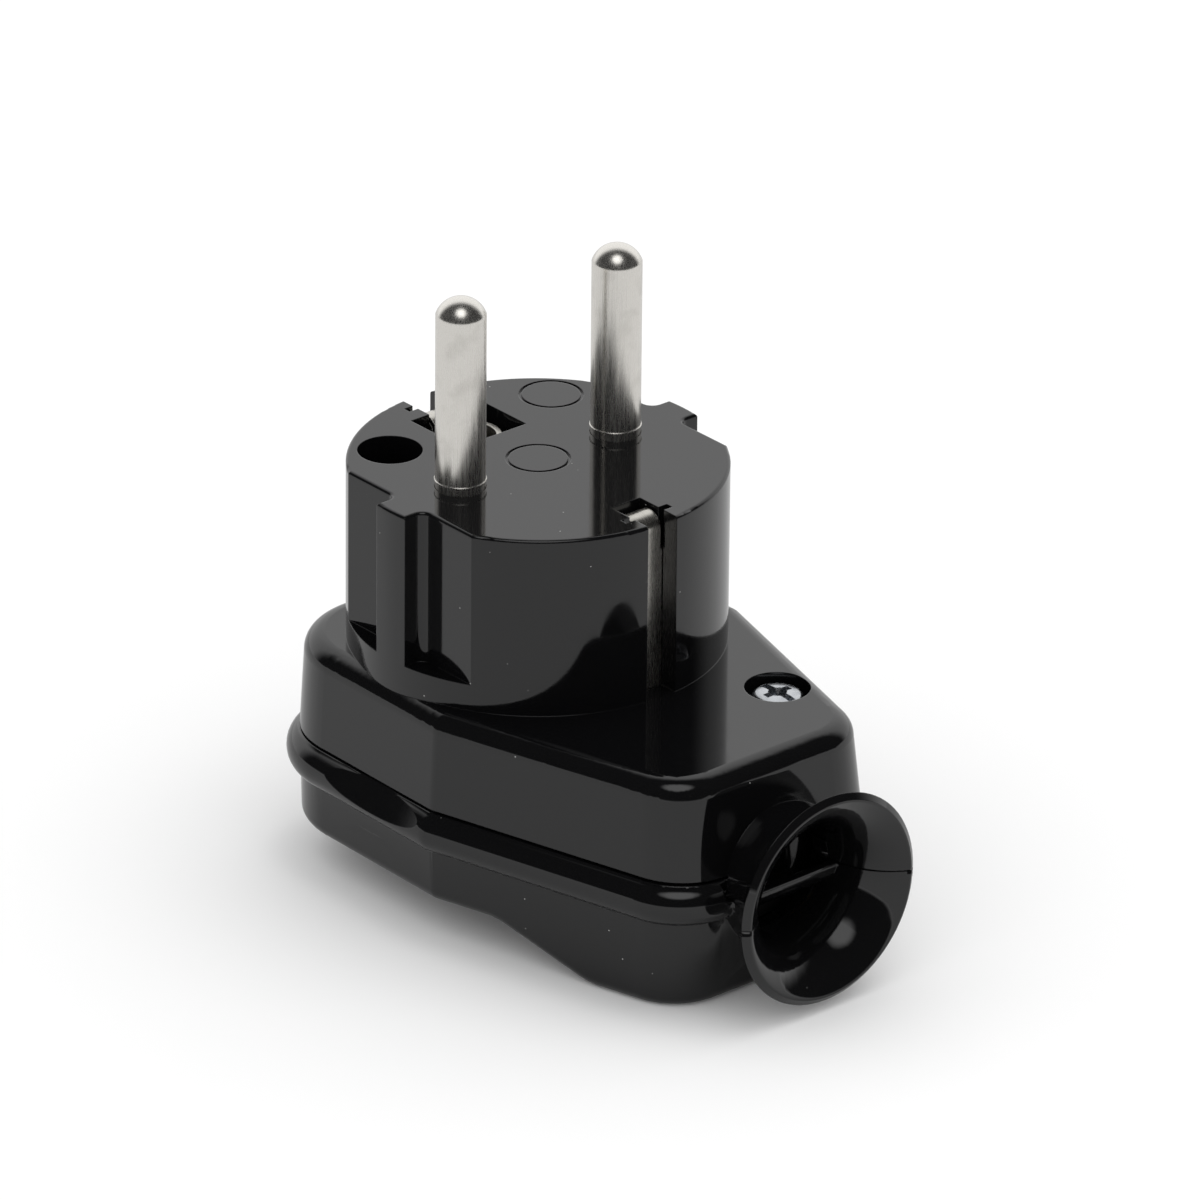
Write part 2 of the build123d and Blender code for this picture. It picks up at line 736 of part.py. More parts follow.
def centre_contact(side):
    """Strip from a pin's rivet to the knife edge that carries the blade."""
    y = side * pole_y
    half = blade_width / 2
    eyelet = rod((0, side * pin_y), pin_head_r - fit, eyelet_bottom_z, pin_head_z)
    span_y = sorted((side * (pole_y - strip_t / 2), side * pin_y))
    strip = block((switch_x - half, switch_x + half), span_y, (eyelet_bottom_z, pin_head_z))
    edge_z = blade_pivot_z - knife_r * math.sqrt(2)
    leg = Polygon(
        (switch_x - half, pin_head_z),
        (switch_x - half, edge_z + half),
        (switch_x, edge_z),
        (switch_x + half, edge_z + half),
        (switch_x + half, pin_head_z),
        align=None,
    )
    leg = fillet(corners_at(leg, switch_x), knife_r)
    leg = Pos(0, y, 0) * extrude(Plane.XZ * leg, strip_t / 2, both=True)
    return eyelet + strip + leg - rod((0, side * pin_y), pin_rivet_r, eyelet_bottom_z, pin_head_z)


def blade(side):
    """See-saw blade, tilted to its off position."""
    half_angle = math.radians(blade_groove_half_angle)
    root_r = knife_r + knife_gap
    root = root_r / math.sin(half_angle)
    groove = (blade_groove + root) * math.tan(half_angle)
    tail = blade_contact_arm + blade_contact_tail
    outline = Polygon(
        (-blade_stop_arm, blade_groove),
        (-groove, blade_groove),
        (0, -root),
        (groove, blade_groove),
        (tail, blade_groove),
        (tail, -blade_under),
        (-blade_stop_arm, -blade_under),
        align=None,
    )
    outline = fillet(corners_at(outline, 0), root_r)
    bar = extrude(Plane.XZ * outline, blade_width / 2, both=True)
    bar += rod((blade_contact_arm, 0), rivet_r, blade_groove, blade_groove + rivet_h)
    return Pos(switch_x, side * pole_y, blade_pivot_z) * Rot(0, blade_tilt, 0) * bar


def load_contact(side):
    """Strip under the carrier with the fixed contact, on top of the terminal."""
    half = blade_width / 2
    lane = sorted((side * (pole_y - half), side * (pole_y + half)))
    strip = block((made_contact_x - rivet_r, terminal_end_x), lane, (load_strip_z, shelf_z))
    pad_x = (terminal_x - terminal_side / 2, terminal_end_x)
    pad_y = sorted((side * (terminal_y - terminal_side / 2), side * (terminal_y + terminal_side / 2)))
    strip += block(pad_x, pad_y, (load_strip_z, shelf_z))
    return strip + rod((made_contact_x, side * pole_y), rivet_r, made_contact_z, load_strip_z)


def terminal(x, y, top_z):
    """Brass block with a hole for the wire and a tapped hole for its screw."""
    half = terminal_side / 2
    body = block((x - half, x + half), (y - half, y + half), (top_z - terminal_h, top_z))
    body -= rod_x(y, top_z - terminal_h / 2, terminal_wire_r, x - half, x + half)
    return body - rod((x, y), screw_r + thread_gap, top_z - terminal_h, top_z - terminal_h / 2)


def terminal_screws():
    places = [
        ((terminal_x, -terminal_y), load_strip_z),
        ((terminal_x, terminal_y), load_strip_z),
        ((earth_terminal_x, 0), carrier_top_z),
    ]
    screws = []
    for at, top in places:
        seat = top - terminal_h - head_h / 2
        screws.append(screw(at, seat, top - terminal_h / 2 - terminal_wire_r / 2))
    return Compound(children=screws)


def earth_link():
    """Strip from the strap to the earth terminal."""
    end = earth_terminal_x + terminal_side / 2
    strip_y = (-link_width / 2, link_width / 2)
    link = block((link_start_x, end), strip_y, (carrier_top_z, bar_bottom_z))
    half = terminal_side / 2
    return link + block((earth_terminal_x - half, end), (-half, half), (carrier_top_z, bar_bottom_z))


def cord_clamp():
    """Bar that presses the cord against the rib between the posts."""
    heights = (clamp_seat_z, clamp_top_z)
    straight = clamp_half - clamp_width / 2
    side = (clamp_x - clamp_width / 2, clamp_x + clamp_width / 2)
    bar = block(side, (-straight, straight), heights)
    for y in (-straight, straight):
        bar += rod((clamp_x, y), clamp_width / 2, *heights)
    for y in (-clamp_screw_y, clamp_screw_y):
        bar -= rod((clamp_x, y), screw_hole_r, *heights)
    return bar - rod_x(0, outlet_z, cord_r, *side)


def clamp_screws():
    places = [(clamp_x, -clamp_screw_y), (clamp_x, clamp_screw_y)]
    return Compound(children=[screw(at, clamp_seat_z, clamp_screw_tip_z) for at in places])


def on_rocker(shape):
    """Put a shape drawn about the level rocker's pivot in its off position."""
    return Pos(switch_x, 0, rocker_pivot_z) * Rot(0, -rocker_tilt, 0) * shape


def rocker():
    """Rocker with a shallow V face, round ends, trunnions and two stems."""
    rise = rocker_end_r * math.tan(rocker_angle)
    faces = Polygon(
        (-rocker_end_r, -valley_depth - rise),
        (0, -valley_depth),
        (rocker_end_r, -valley_depth - rise),
        (rocker_end_r, rocker_inner),
        (-rocker_end_r, rocker_inner),
        align=None,
    )
    body = extrude(Plane.XZ * (faces & Circle(rocker_end_r)), rocker_width / 2, both=True)
    outer = [e for e in body.edges() if e.center().Z < -valley_depth + 0.1 and abs(e.center().X) > 0.1]
    body = fillet(outer, rocker_edge_r)
    reach = rocker_width / 2 + trunnion_length
    body += rod_y(0, 0, trunnion_r, -reach, reach)
    for y in (-pole_y, pole_y):
        body += rod((0, y), stem_r, rocker_inner, stem_height)
        body -= rod((0, y), plunger_r + plunger_clearance, spring_seat_h, stem_height)
    return on_rocker(body)


def plunger(side):
    """Round-nosed plunger that slides on the blade."""
    y = side * pole_y
    body = rod((0, y), plunger_r, plunger_tip_h - plunger_length, plunger_tip_h - plunger_r)
    return on_rocker(body + Pos(0, y, plunger_tip_h - plunger_r) * Sphere(plunger_r))


def spring(side):
    """Coil spring between the bore's end and the plunger."""
    low = spring_seat_h + spring_wire_r
    high = plunger_tip_h - plunger_length - spring_wire_r
    path = Helix(spring_pitch, high - low, plunger_r - spring_wire_r)
    section = Plane(path @ 0, z_dir=path % 0) * Circle(spring_wire_r)
    return on_rocker(Pos(0, side * pole_y, low) * sweep(section, path))


parts = {
    "front_shell": front_shell(),
    "back_shell": back_shell(),
    "line_pin": pin(-pin_y),
    "neutral_pin": pin(pin_y),
    "earth_strap": earth_strap(),
    "earth_socket": earth_socket(),
    "earth_link": earth_link(),
    "earth_terminal": terminal(earth_terminal_x, 0, carrier_top_z),
    "contact_carrier": contact_carrier(),
    "carrier_screws": carrier_screws(),
    "terminal_screws": terminal_screws(),
    "shell_screws": shell_screws(),
    "shell_nuts": shell_nuts(),
    "cord_clamp": cord_clamp(),
    "clamp_screws": clamp_screws(),
    "rocker": rocker(),
}
for pole, side in (("line", -1), ("neutral", 1)):
    parts[pole + "_centre_contact"] = centre_contact(side)
    parts[pole + "_blade"] = blade(side)
    parts[pole + "_load_contact"] = load_contact(side)
    parts[pole + "_terminal"] = terminal(terminal_x, side * terminal_y, load_strip_z)
    parts[pole + "_plunger"] = plunger(side)
    parts[pole + "_spring"] = spring(side)

os.makedirs("parts", exist_ok=True)
for name, shape in parts.items():
    export_step(shape, "parts/" + name + ".step")
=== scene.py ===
"""Looks, light and camera of an angled two-pin plug with a rocker switch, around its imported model."""

import logging
import math
from dataclasses import dataclass, field
from enum import Enum
from typing import Any

import bmesh
import bpy
from mathutils import Matrix, Vector


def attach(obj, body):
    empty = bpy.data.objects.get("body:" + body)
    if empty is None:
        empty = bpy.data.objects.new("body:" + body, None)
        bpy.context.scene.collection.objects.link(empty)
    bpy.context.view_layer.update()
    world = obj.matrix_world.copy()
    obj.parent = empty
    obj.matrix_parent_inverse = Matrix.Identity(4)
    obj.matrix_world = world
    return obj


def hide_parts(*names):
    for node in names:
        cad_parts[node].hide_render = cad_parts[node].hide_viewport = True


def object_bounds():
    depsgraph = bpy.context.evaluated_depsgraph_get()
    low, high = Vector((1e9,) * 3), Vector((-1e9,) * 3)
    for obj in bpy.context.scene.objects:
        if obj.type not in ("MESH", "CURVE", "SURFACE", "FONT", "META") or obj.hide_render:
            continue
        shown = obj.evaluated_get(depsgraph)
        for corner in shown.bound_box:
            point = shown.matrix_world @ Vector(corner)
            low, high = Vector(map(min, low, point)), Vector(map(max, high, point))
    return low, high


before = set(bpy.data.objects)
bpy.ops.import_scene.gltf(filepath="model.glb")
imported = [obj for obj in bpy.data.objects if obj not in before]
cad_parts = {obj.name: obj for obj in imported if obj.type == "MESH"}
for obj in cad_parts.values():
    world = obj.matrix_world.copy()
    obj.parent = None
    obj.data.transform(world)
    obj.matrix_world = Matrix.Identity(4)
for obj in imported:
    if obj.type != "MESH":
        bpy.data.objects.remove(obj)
CAD_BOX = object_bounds()

log = logging.getLogger("plug")
MM = 0.001
SAME_POINT = 0.002 * MM
ROCKER_PIVOT = (1.5, 0.0, -36.0)

Box = tuple[Vector, Vector]
Socket = bpy.types.NodeSocket


class Slot(Enum):
    """Material slots of the record."""

    GLOSS_THERMOPLASTIC = "gloss_thermoplastic"
    ROCKER_PLASTIC = "rocker_plastic"
    CARRIER_PLASTIC = "carrier_plastic"
    NICKEL_PLATE = "nickel_plate"
    ZINC_PLATE = "zinc_plate"
    SPRING_STEEL = "spring_steel"
    BRASS_STRIP = "brass_strip"
    BRASS_BLOCK = "brass_block"


def linear(code: str, alpha: float = 1.0) -> tuple[float, float, float, float]:
    """Turn an sRGB hex colour to linear.

    Args:
        code: Colour as #rrggbb.
        alpha: Fourth channel.

    Returns:
        Linear red, green, blue and alpha.
    """
    shares = [int(code[i:i + 2], 16) / 255 for i in (1, 3, 5)]
    parts = [c / 12.92 if c <= 0.04045 else ((c + 0.055) / 1.055) ** 2.4 for c in shares]
    return (parts[0], parts[1], parts[2], alpha)


def node(tree: bpy.types.NodeTree, kind: str, values: dict[Any, Any] | None = None,
         **settings: Any) -> bpy.types.Node:
    """Add a node with its settings, socket values and links.

    Args:
        tree: Node tree that gets the node.
        kind: Blender's node type.
        values: Socket name or index to a value, to an output socket or to a list of them.
        settings: Properties of the node.

    Returns:
        The new node.
    """
    made = tree.nodes.new(kind)
    for name, value in settings.items():
        setattr(made, name, value)
    for key, value in (values or {}).items():
        socket = made.inputs[key]
        for source in value if isinstance(value, list) else [value]:
            if isinstance(source, Socket):
                tree.links.new(source, socket)
            else:
                socket.default_value = source
    return made


class ShaderDraft:
    """One material's shader tree while it is built; all lengths are in millimetres."""

    def __init__(self, name: str, colour: str, roughness: float, metallic: float, ior: float) -> None:
        """Start the material with its shader and output.

        Args:
            name: Material's name.
            colour: Base colour as sRGB hex.
            roughness: Roughness of the surface.
            metallic: 1 for bare metal.
            ior: Index of refraction.
        """
        self.material = bpy.data.materials.new(name)
        self.material.use_nodes = True
        self.tree = self.material.node_tree
        self.tree.nodes.clear()
        self.shader = node(self.tree, "ShaderNodeBsdfPrincipled", {
            "Base Color": linear(colour), "Roughness": roughness, "Metallic": metallic, "IOR": ior,
        })
        node(self.tree, "ShaderNodeOutputMaterial", {"Surface": self.shader.outputs["BSDF"]})
        self.place = node(self.tree, "ShaderNodeTexCoord").outputs["Object"]

    def noise(self, size: float, stretch: tuple[float, float, float] = (1, 1, 1),
              detail: float = 2.0) -> Socket:
        """Add soft noise.

        Args:
            size: Size of one blotch.
            stretch: How much longer a blotch is along X, Y and Z.
            detail: Number of finer layers.

        Returns:
            Value from 0 to 1.
        """
        place = node(self.tree, "ShaderNodeMapping", {
            "Vector": self.place, "Scale": tuple(1 / (size * MM * s) for s in stretch),
        })
        return node(self.tree, "ShaderNodeTexNoise", {
            "Vector": place.outputs[0], "Scale": 1.0, "Detail": detail, "Roughness": 0.5,
        }).outputs[0]

    def levels(self, value: Socket, band: tuple[float, float], start: float = 0.0,
               end: float = 1.0) -> Socket:
        """Map a value's range on another and clamp it.

        Args:
            value: Value to map.
            band: Values that give start and end.
            start: First result.
            end: Last result.

        Returns:
            Mapped value.
        """
        low, high = band
        return node(self.tree, "ShaderNodeMapRange", {0: value, 1: low, 2: high, 3: start, 4: end}).outputs[0]

    def tint(self, share: Socket, low: str, high: str) -> None:
        """Blend the base colour between two tones.

        Args:
            share: 0 for the low tone and 1 for the high one.
            low: First tone.
            high: Second tone.
        """
        mixed = node(self.tree, "ShaderNodeMix", {
            0: share, 6: linear(low), 7: linear(high),
        }, data_type="RGBA")
        self.feed("Base Color", mixed.outputs[2])

    def feed(self, name: str, value: Socket) -> None:
        """Link a value to one of the shader's inputs."""
        self.tree.links.new(value, self.shader.inputs[name])

    def relief(self, height: Socket, depth: float, edge: float) -> None:
        """Give the surface a relief and its edges a rounding.

        Args:
            height: Relief from 0 to 1.
            depth: Depth of the relief.
            edge: Radius on the edges.
        """
        rounded = node(self.tree, "ShaderNodeBevel", {"Radius": edge * MM}, samples=6)
        bump = node(self.tree, "ShaderNodeBump", {
            "Strength": 1.0, "Distance": depth * MM, "Height": height, "Normal": rounded.outputs[0],
        })
        self.feed("Normal", bump.outputs[0])


@dataclass(frozen=True)
class Finish:
    """A surface as it was made, with what it does to light."""

    name: str
    colour: str
    roughness: float
    metallic: float = 0.0
    ior: float = 1.5
    edge_mm: float = 0.12

    def draft(self) -> ShaderDraft:
        """Start this finish's shader."""
        return ShaderDraft(self.name, self.colour, self.roughness, self.metallic, self.ior)

    def material(self) -> bpy.types.Material:
        """Build the material."""
        return self.draft().material


@dataclass(frozen=True)
class GlossMoulding(Finish):
    """Black thermoplastic from a polished mould."""

    ripple_mm: float = 7.0
    ripple_depth_mm: float = 0.004
    haze_mm: float = 3.0
    haze: float = 0.05
    haze_band: tuple[float, float] = (0.35, 0.75)
    dust_cell_mm: float = 1.5
    dust_r_mm: float = 0.09
    dust_share: float = 0.3
    dust_colour: str = "#a2a2a0"
    dust_roughness: float = 0.6

    def material(self) -> bpy.types.Material:
        """Build the material.

        Returns:
            Deep black whose mirror image wavers a little over sink marks, with grey specks of dust.
        """
        draft = self.draft()
        cells = node(draft.tree, "ShaderNodeTexVoronoi", {
            "Vector": draft.place, "Scale": 1 / (self.dust_cell_mm * MM), "Randomness": 1.0,
        })
        chance = node(draft.tree, "ShaderNodeSeparateColor", {0: cells.outputs["Color"]})
        largest = self.dust_r_mm / self.dust_cell_mm
        reach = draft.levels(chance.outputs[0], (1 - self.dust_share, 1.0), 0.0, largest)
        speck = node(draft.tree, "ShaderNodeMath", {
            0: cells.outputs["Distance"], 1: reach,
        }, operation="LESS_THAN")
        draft.tint(speck.outputs[0], self.colour, self.dust_colour)
        haze = draft.levels(draft.noise(self.haze_mm), self.haze_band, self.roughness,
                            self.roughness + self.haze)
        rough = node(draft.tree, "ShaderNodeMath", {
            0: speck.outputs[0], 1: self.dust_roughness, 2: haze,
        }, operation="MULTIPLY_ADD")
        draft.feed("Roughness", rough.outputs[0])
        draft.relief(draft.noise(self.ripple_mm, detail=1.0), self.ripple_depth_mm, self.edge_mm)
        return draft.material


@dataclass(frozen=True)
class GrainedMoulding(Finish):
    """Plastic from a spark-eroded mould, or with glass fibres near the surface."""

    grain_mm: float = 0.12
    grain_depth_mm: float = 0.006
    grain_band: tuple[float, float] = (0.45, 0.8)
    stretch: tuple[float, float, float] = (1, 1, 1)
    pale: str = "#202022"
    cloud_mm: float = 4.0
    cloud_band: tuple[float, float] = (0.3, 0.7)
    cloud_roughness: float = 0.08

    def material(self) -> bpy.types.Material:
        """Build the material.

        Returns:
            Soft dark sheen broken up by a fine grain, paler where the grain stands up.
        """
        draft = self.draft()
        grain = draft.noise(self.grain_mm, self.stretch, detail=3.0)
        draft.tint(draft.levels(grain, self.grain_band), self.colour, self.pale)
        clouds = draft.noise(self.cloud_mm)
        dull = self.roughness + self.cloud_roughness
        draft.feed("Roughness", draft.levels(clouds, self.cloud_band, self.roughness, dull))
        draft.relief(grain, self.grain_depth_mm, self.edge_mm)
        return draft.material


@dataclass(frozen=True)
class WorkedMetal(Finish):
    """Metal with the fine lines of its last process and uneven tarnish."""

    metallic: float = 1.0
    line_mm: float = 0.05
    line_depth_mm: float = 0.0006
    line_band: tuple[float, float] = (0.3, 0.7)
    stretch: tuple[float, float, float] = (1, 1, 1)
    tarnish: str = "#8f8d88"
    tarnish_mm: float = 2.5
    tarnish_band: tuple[float, float] = (0.5, 0.85)
    tarnish_share: float = 0.6
    spread: float = 0.12

    def material(self) -> bpy.types.Material:
        """Build the material.

        Returns:
            Bright metal whose highlights are drawn out along fine lines, dulled in faint clouds.
        """
        draft = self.draft()
        lines = draft.noise(self.line_mm, self.stretch, detail=2.0)
        clouds = draft.noise(self.tarnish_mm, detail=3.0)
        dulled = draft.levels(clouds, self.tarnish_band, 0.0, self.tarnish_share)
        draft.tint(dulled, self.colour, self.tarnish)
        rough = draft.levels(lines, self.line_band, self.roughness, self.roughness + self.spread)
        draft.feed("Roughness", rough)
        draft.relief(lines, self.line_depth_mm, self.edge_mm)
        return draft.material


# Near-black with a wet gloss: it hardly shows its own colour, only what it mirrors.
GLOSS_BLACK = GlossMoulding("black_thermoplastic_gloss", "#0b0b0c", 0.05, ior=1.55)
# Slightly softer and greyer than the shells, so that the rocker reads as a part of its own.
ROCKER_BLACK = GrainedMoulding("black_rocker_satin", "#101012", 0.24, pale="#17171a")
# Dull black with the fibrous grain of glass-filled plastic, so that it stays dark in the throat.
FILLED_BLACK = GrainedMoulding("glass_filled_polyamide", "#131314", 0.6, grain_mm=0.18, grain_depth_mm=0.01,
                              stretch=(3.0, 1.0, 1.0), pale="#1d1d1d")
# Warm white metal; fine polishing lines run up the pins and blur what they mirror from side to side.
TURNED_NICKEL = WorkedMetal("nickel_plated_turned_brass", "#e8e5df", 0.2, line_mm=0.1, line_depth_mm=0.004,
                            stretch=(1.0, 1.0, 40.0), spread=0.12, tarnish="#bfbcb5")
# The same plating on rolled strip, whose lines run along the strip.
STRIP_NICKEL = WorkedMetal("nickel_plated_strip", "#d3d0c9", 0.2, stretch=(30.0, 1.0, 30.0))
# Cold bright plating with soft clouds, as on small barrel-plated screws.
ZINC = WorkedMetal("bright_zinc_plated_steel", "#c9ccd0", 0.2, line_mm=0.15, tarnish="#9a9ea5",
                   tarnish_mm=0.9)
# Flat white ink, a little worn, that makes the rocker's marks readable.
WHITE_PRINT = GrainedMoulding("white_print", "#c9c9c5", 0.5, grain_mm=0.3, grain_depth_mm=0.003,
                              pale="#dededb")
# Grey wire that shows long die marks.
SPRING_STEEL = WorkedMetal("drawn_spring_steel", "#8e8e90", 0.24, line_mm=0.04, stretch=(1.0, 1.0, 8.0),
                           tarnish="#6c6a68")
# Yellow metal with rolling lines along the strip and a brown breath of tarnish.
STRIP_BRASS = WorkedMetal("rolled_brass_strip", "#d3b266", 0.22, stretch=(30.0, 1.0, 30.0), tarnish="#9c7a3c")
# The same metal sawn and drilled from bar, duller and with cross-running cutter lines.
BLOCK_BRASS = WorkedMetal("machined_brass_bar", "#c9a757", 0.28, line_mm=0.08, line_depth_mm=0.0012,
                          stretch=(1.0, 20.0, 20.0), tarnish="#8d6d35")


def dress(finish: Finish, *names: str) -> None:
    """Give CAD nodes one finish.

    Args:
        finish: Finish to give.
        names: Nodes that get it.
    """
    material = finish.material()
    for name in names:
        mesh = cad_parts[name].data
        mesh.materials.clear()
        mesh.materials.append(material)
        log.info("%s: %s", name, finish.name)


def link(name: str, data: bpy.types.ID) -> bpy.types.Object:
    """Put an object round its data into the scene."""
    made = bpy.data.objects.new(name, data)
    bpy.context.scene.collection.objects.link(made)
    return made


def applied(host: bpy.types.Object, *helpers: bpy.types.Object) -> bpy.types.Mesh:
    """Turn an object's modifiers into plain mesh and remove the object.

    Args:
        host: Object with modifiers.
        helpers: Objects that only the modifiers use, which go as well.

    Returns:
        The finished mesh.
    """
    bpy.context.view_layer.update()
    graph = bpy.context.evaluated_depsgraph_get()
    mesh = bpy.data.meshes.new_from_object(host.evaluated_get(graph))
    for used in (host, *helpers):
        bpy.data.objects.remove(used)
    return mesh


def merged_copy(name: str) -> bmesh.types.BMesh:
    """Copy a CAD node's mesh with its faces joined along their edges."""
    copy = bmesh.new()
    copy.from_mesh(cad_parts[name].data)
    bmesh.ops.remove_doubles(copy, verts=copy.verts, dist=SAME_POINT)
    return copy


def solid_boxes(name: str) -> list[Box]:
    """Find the solids that share one CAD node.

    Args:
        name: Node's name.

    Returns:
        Lowest and highest corner of each solid, in the order of X and then Y.
    """
    copy = merged_copy(name)
    waiting, boxes = set(copy.verts), []
    while waiting:
        reached = [waiting.pop()]
        for vert in reached:
            for edge in vert.link_edges:
                other = edge.other_vert(vert)
                if other in waiting:
                    waiting.discard(other)
                    reached.append(other)
        low = Vector(min(v.co[axis] for v in reached) for axis in range(3))
        high = Vector(max(v.co[axis] for v in reached) for axis in range(3))
        boxes.append((low, high))
    copy.free()
    return sorted(boxes, key=lambda box: (box[0].x, box[0].y))


def lathe(name: str, profile: list[tuple[float, float]], segments: int) -> bpy.types.Mesh:
    """Turn a closed body about the Z axis.

    Args:
        name: Mesh's name.
        profile: Radius and height of each corner in millimetres, from the lower pole to the upper one.
        segments: Number of steps round the axis.

    Returns:
        Mesh with soft normals on round parts and sharp ones at corners.
    """
    shape = bmesh.new()
    rings = []
    for radius, height in profile:
        steps = segments if radius > 0 else 1
        angles = [2 * math.pi * step / segments for step in range(steps)]
        rings.append([
            shape.verts.new((radius * MM * math.cos(a), radius * MM * math.sin(a), height * MM))
            for a in angles
        ])
    for low, high in zip(rings, rings[1:]):
        for step in range(segments):
            after = (step + 1) % segments
            corners = [
                low[step % len(low)], low[after % len(low)], high[after % len(high)], high[step % len(high)],
            ]
            shape.faces.new(list(dict.fromkeys(corners)))
    mesh = bpy.data.meshes.new(name)
    shape.to_mesh(mesh)
    shape.free()
    soften(mesh)
    return mesh


def lathe_ring(name: str, profile: list[tuple[float, float]], segments: int) -> bpy.types.Mesh:
    """Turn a ring from a closed profile that stays off the Z axis.

    Args:
        name: Mesh's name.
        profile: Radius and height of each corner in millimetres, anticlockwise.
        segments: Number of steps round the axis.

    Returns:
        Mesh of the ring.
    """
    verts, faces, count = [], [], len(profile)
    for step in range(segments):
        a = 2 * math.pi * step / segments
        verts += [(r * MM * math.cos(a), r * MM * math.sin(a), z * MM) for r, z in profile]
        here, there = step * count, (step + 1) % segments * count
        for i in range(count):
            j = (i + 1) % count
            faces.append((here + i, there + i, there + j, here + j))
    mesh = bpy.data.meshes.new(name)
    mesh.from_pydata(verts, [], faces)
    soften(mesh)
    return mesh


def soften(mesh: bpy.types.Mesh, sharp_deg: float = 28.0) -> None:
    """Shade a mesh smooth apart from edges that turn further than an angle."""
    mesh.polygons.foreach_set("use_smooth", [True] * len(mesh.polygons))
    mesh.set_sharp_from_angle(angle=math.radians(sharp_deg))


def arc(centre: tuple[float, float], radius: float, start_deg: float, end_deg: float,
        steps: int) -> list[tuple[float, float]]:
    """List points along an arc of a profile.

    Args:
        centre: Radius and height of the arc's centre.
        radius: The arc's own radius.
        start_deg: First angle, 0 pointing away from the axis.
        end_deg: Last angle.
        steps: Number of steps.

    Returns:
        Radius and height of each point.
    """
    angles = [math.radians(start_deg + (end_deg - start_deg) * step / steps) for step in range(steps + 1)]
    return [(centre[0] + radius * math.cos(a), centre[1] + radius * math.sin(a)) for a in angles]


def hand_over(mesh: bpy.types.Mesh, name: str, body: str, finish: Finish,
              replaces: tuple[str, ...] = ()) -> bpy.types.Object:
    """Make a mesh a piece of the object.

    Args:
        mesh: Mesh with its place in its vertices.
        name: Piece's name.
        body: CAD body that it rides on.
        finish: Finish that it gets.
        replaces: CAD nodes that it stands for.

    Returns:
        The piece.
    """
    mesh.name = name
    mesh.materials.clear()
    mesh.materials.append(finish.material())
    piece = link(name, mesh)
    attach(piece, body)
    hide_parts(*replaces)
    stands_for = ", ".join(replaces) or "no CAD node"
    log.info("%s: %s, %d faces, stands for %s", name, finish.name, len(mesh.polygons), stands_for)
    return piece


@dataclass
class GrownPiece:
    """A body that a Geometry Nodes tree grows from named sizes, kept as one plain mesh."""

    name: str
    finish: Finish
    replaces: tuple[str, ...]
    body: str = "housing"
    slot: Slot = Slot.ZINC_PLATE
    helpers: list[bpy.types.Object] = field(default_factory=list)

    def sizes(self) -> dict[str, float]:
        """Name and millimetres of each of the tree's sizes."""
        raise NotImplementedError

    def places(self) -> list[tuple[Vector, float]]:
        """Point and length of each copy, in metres."""
        raise NotImplementedError

    def grow(self, tree: bpy.types.NodeTree, size: dict[str, Socket], points: Socket) -> Socket:
        """Lay the nodes from the sizes and the points to the finished shape.

        Args:
            tree: Tree that gets the nodes.
            size: Output socket of each named size.
            points: Points that carry a length each.

        Returns:
            Geometry of the shape.
        """
        raise NotImplementedError

    def build(self) -> bpy.types.Object:
        """Run the tree once and hand its mesh over as a piece of the object.

        Returns:
            The piece.
        """
        tree = bpy.data.node_groups.new(self.name, "GeometryNodeTree")
        tree.interface.new_socket("Geometry", in_out="OUTPUT", socket_type="NodeSocketGeometry")
        tree.interface.new_socket("Points", in_out="INPUT", socket_type="NodeSocketGeometry")
        sizes = self.sizes()
        keys = {
            name: tree.interface.new_socket(name, in_out="INPUT", socket_type="NodeSocketFloat").identifier
            for name in sizes
        }
        start = node(tree, "NodeGroupInput")
        size = {name: start.outputs[name] for name in sizes}
        shape = self.grow(tree, size, start.outputs["Points"])
        solid = node(tree, "GeometryNodeRealizeInstances", {"Geometry": shape})
        coat = self.finish.material()
        coated = node(tree, "GeometryNodeSetMaterial", {"Geometry": solid.outputs[0], "Material": coat})
        node(tree, "NodeGroupOutput", {"Geometry": coated.outputs[0]})

        places = self.places()
        seed = bpy.data.meshes.new(self.name + "_points")
        seed.from_pydata([tuple(point) for point, _ in places], [], [])
        lengths = seed.attributes.new("length", "FLOAT", "POINT")
        lengths.data.foreach_set("value", [length for _, length in places])
        host = link(self.name + "_host", seed)
        modifier = host.modifiers.new("grow", "NODES")
        modifier.node_group = tree
        for name, value in sizes.items():
            modifier[keys[name]] = value * MM
        mesh = applied(host, *self.helpers)
        soften(mesh)
        return hand_over(mesh, self.name, self.body, self.finish, self.replaces)


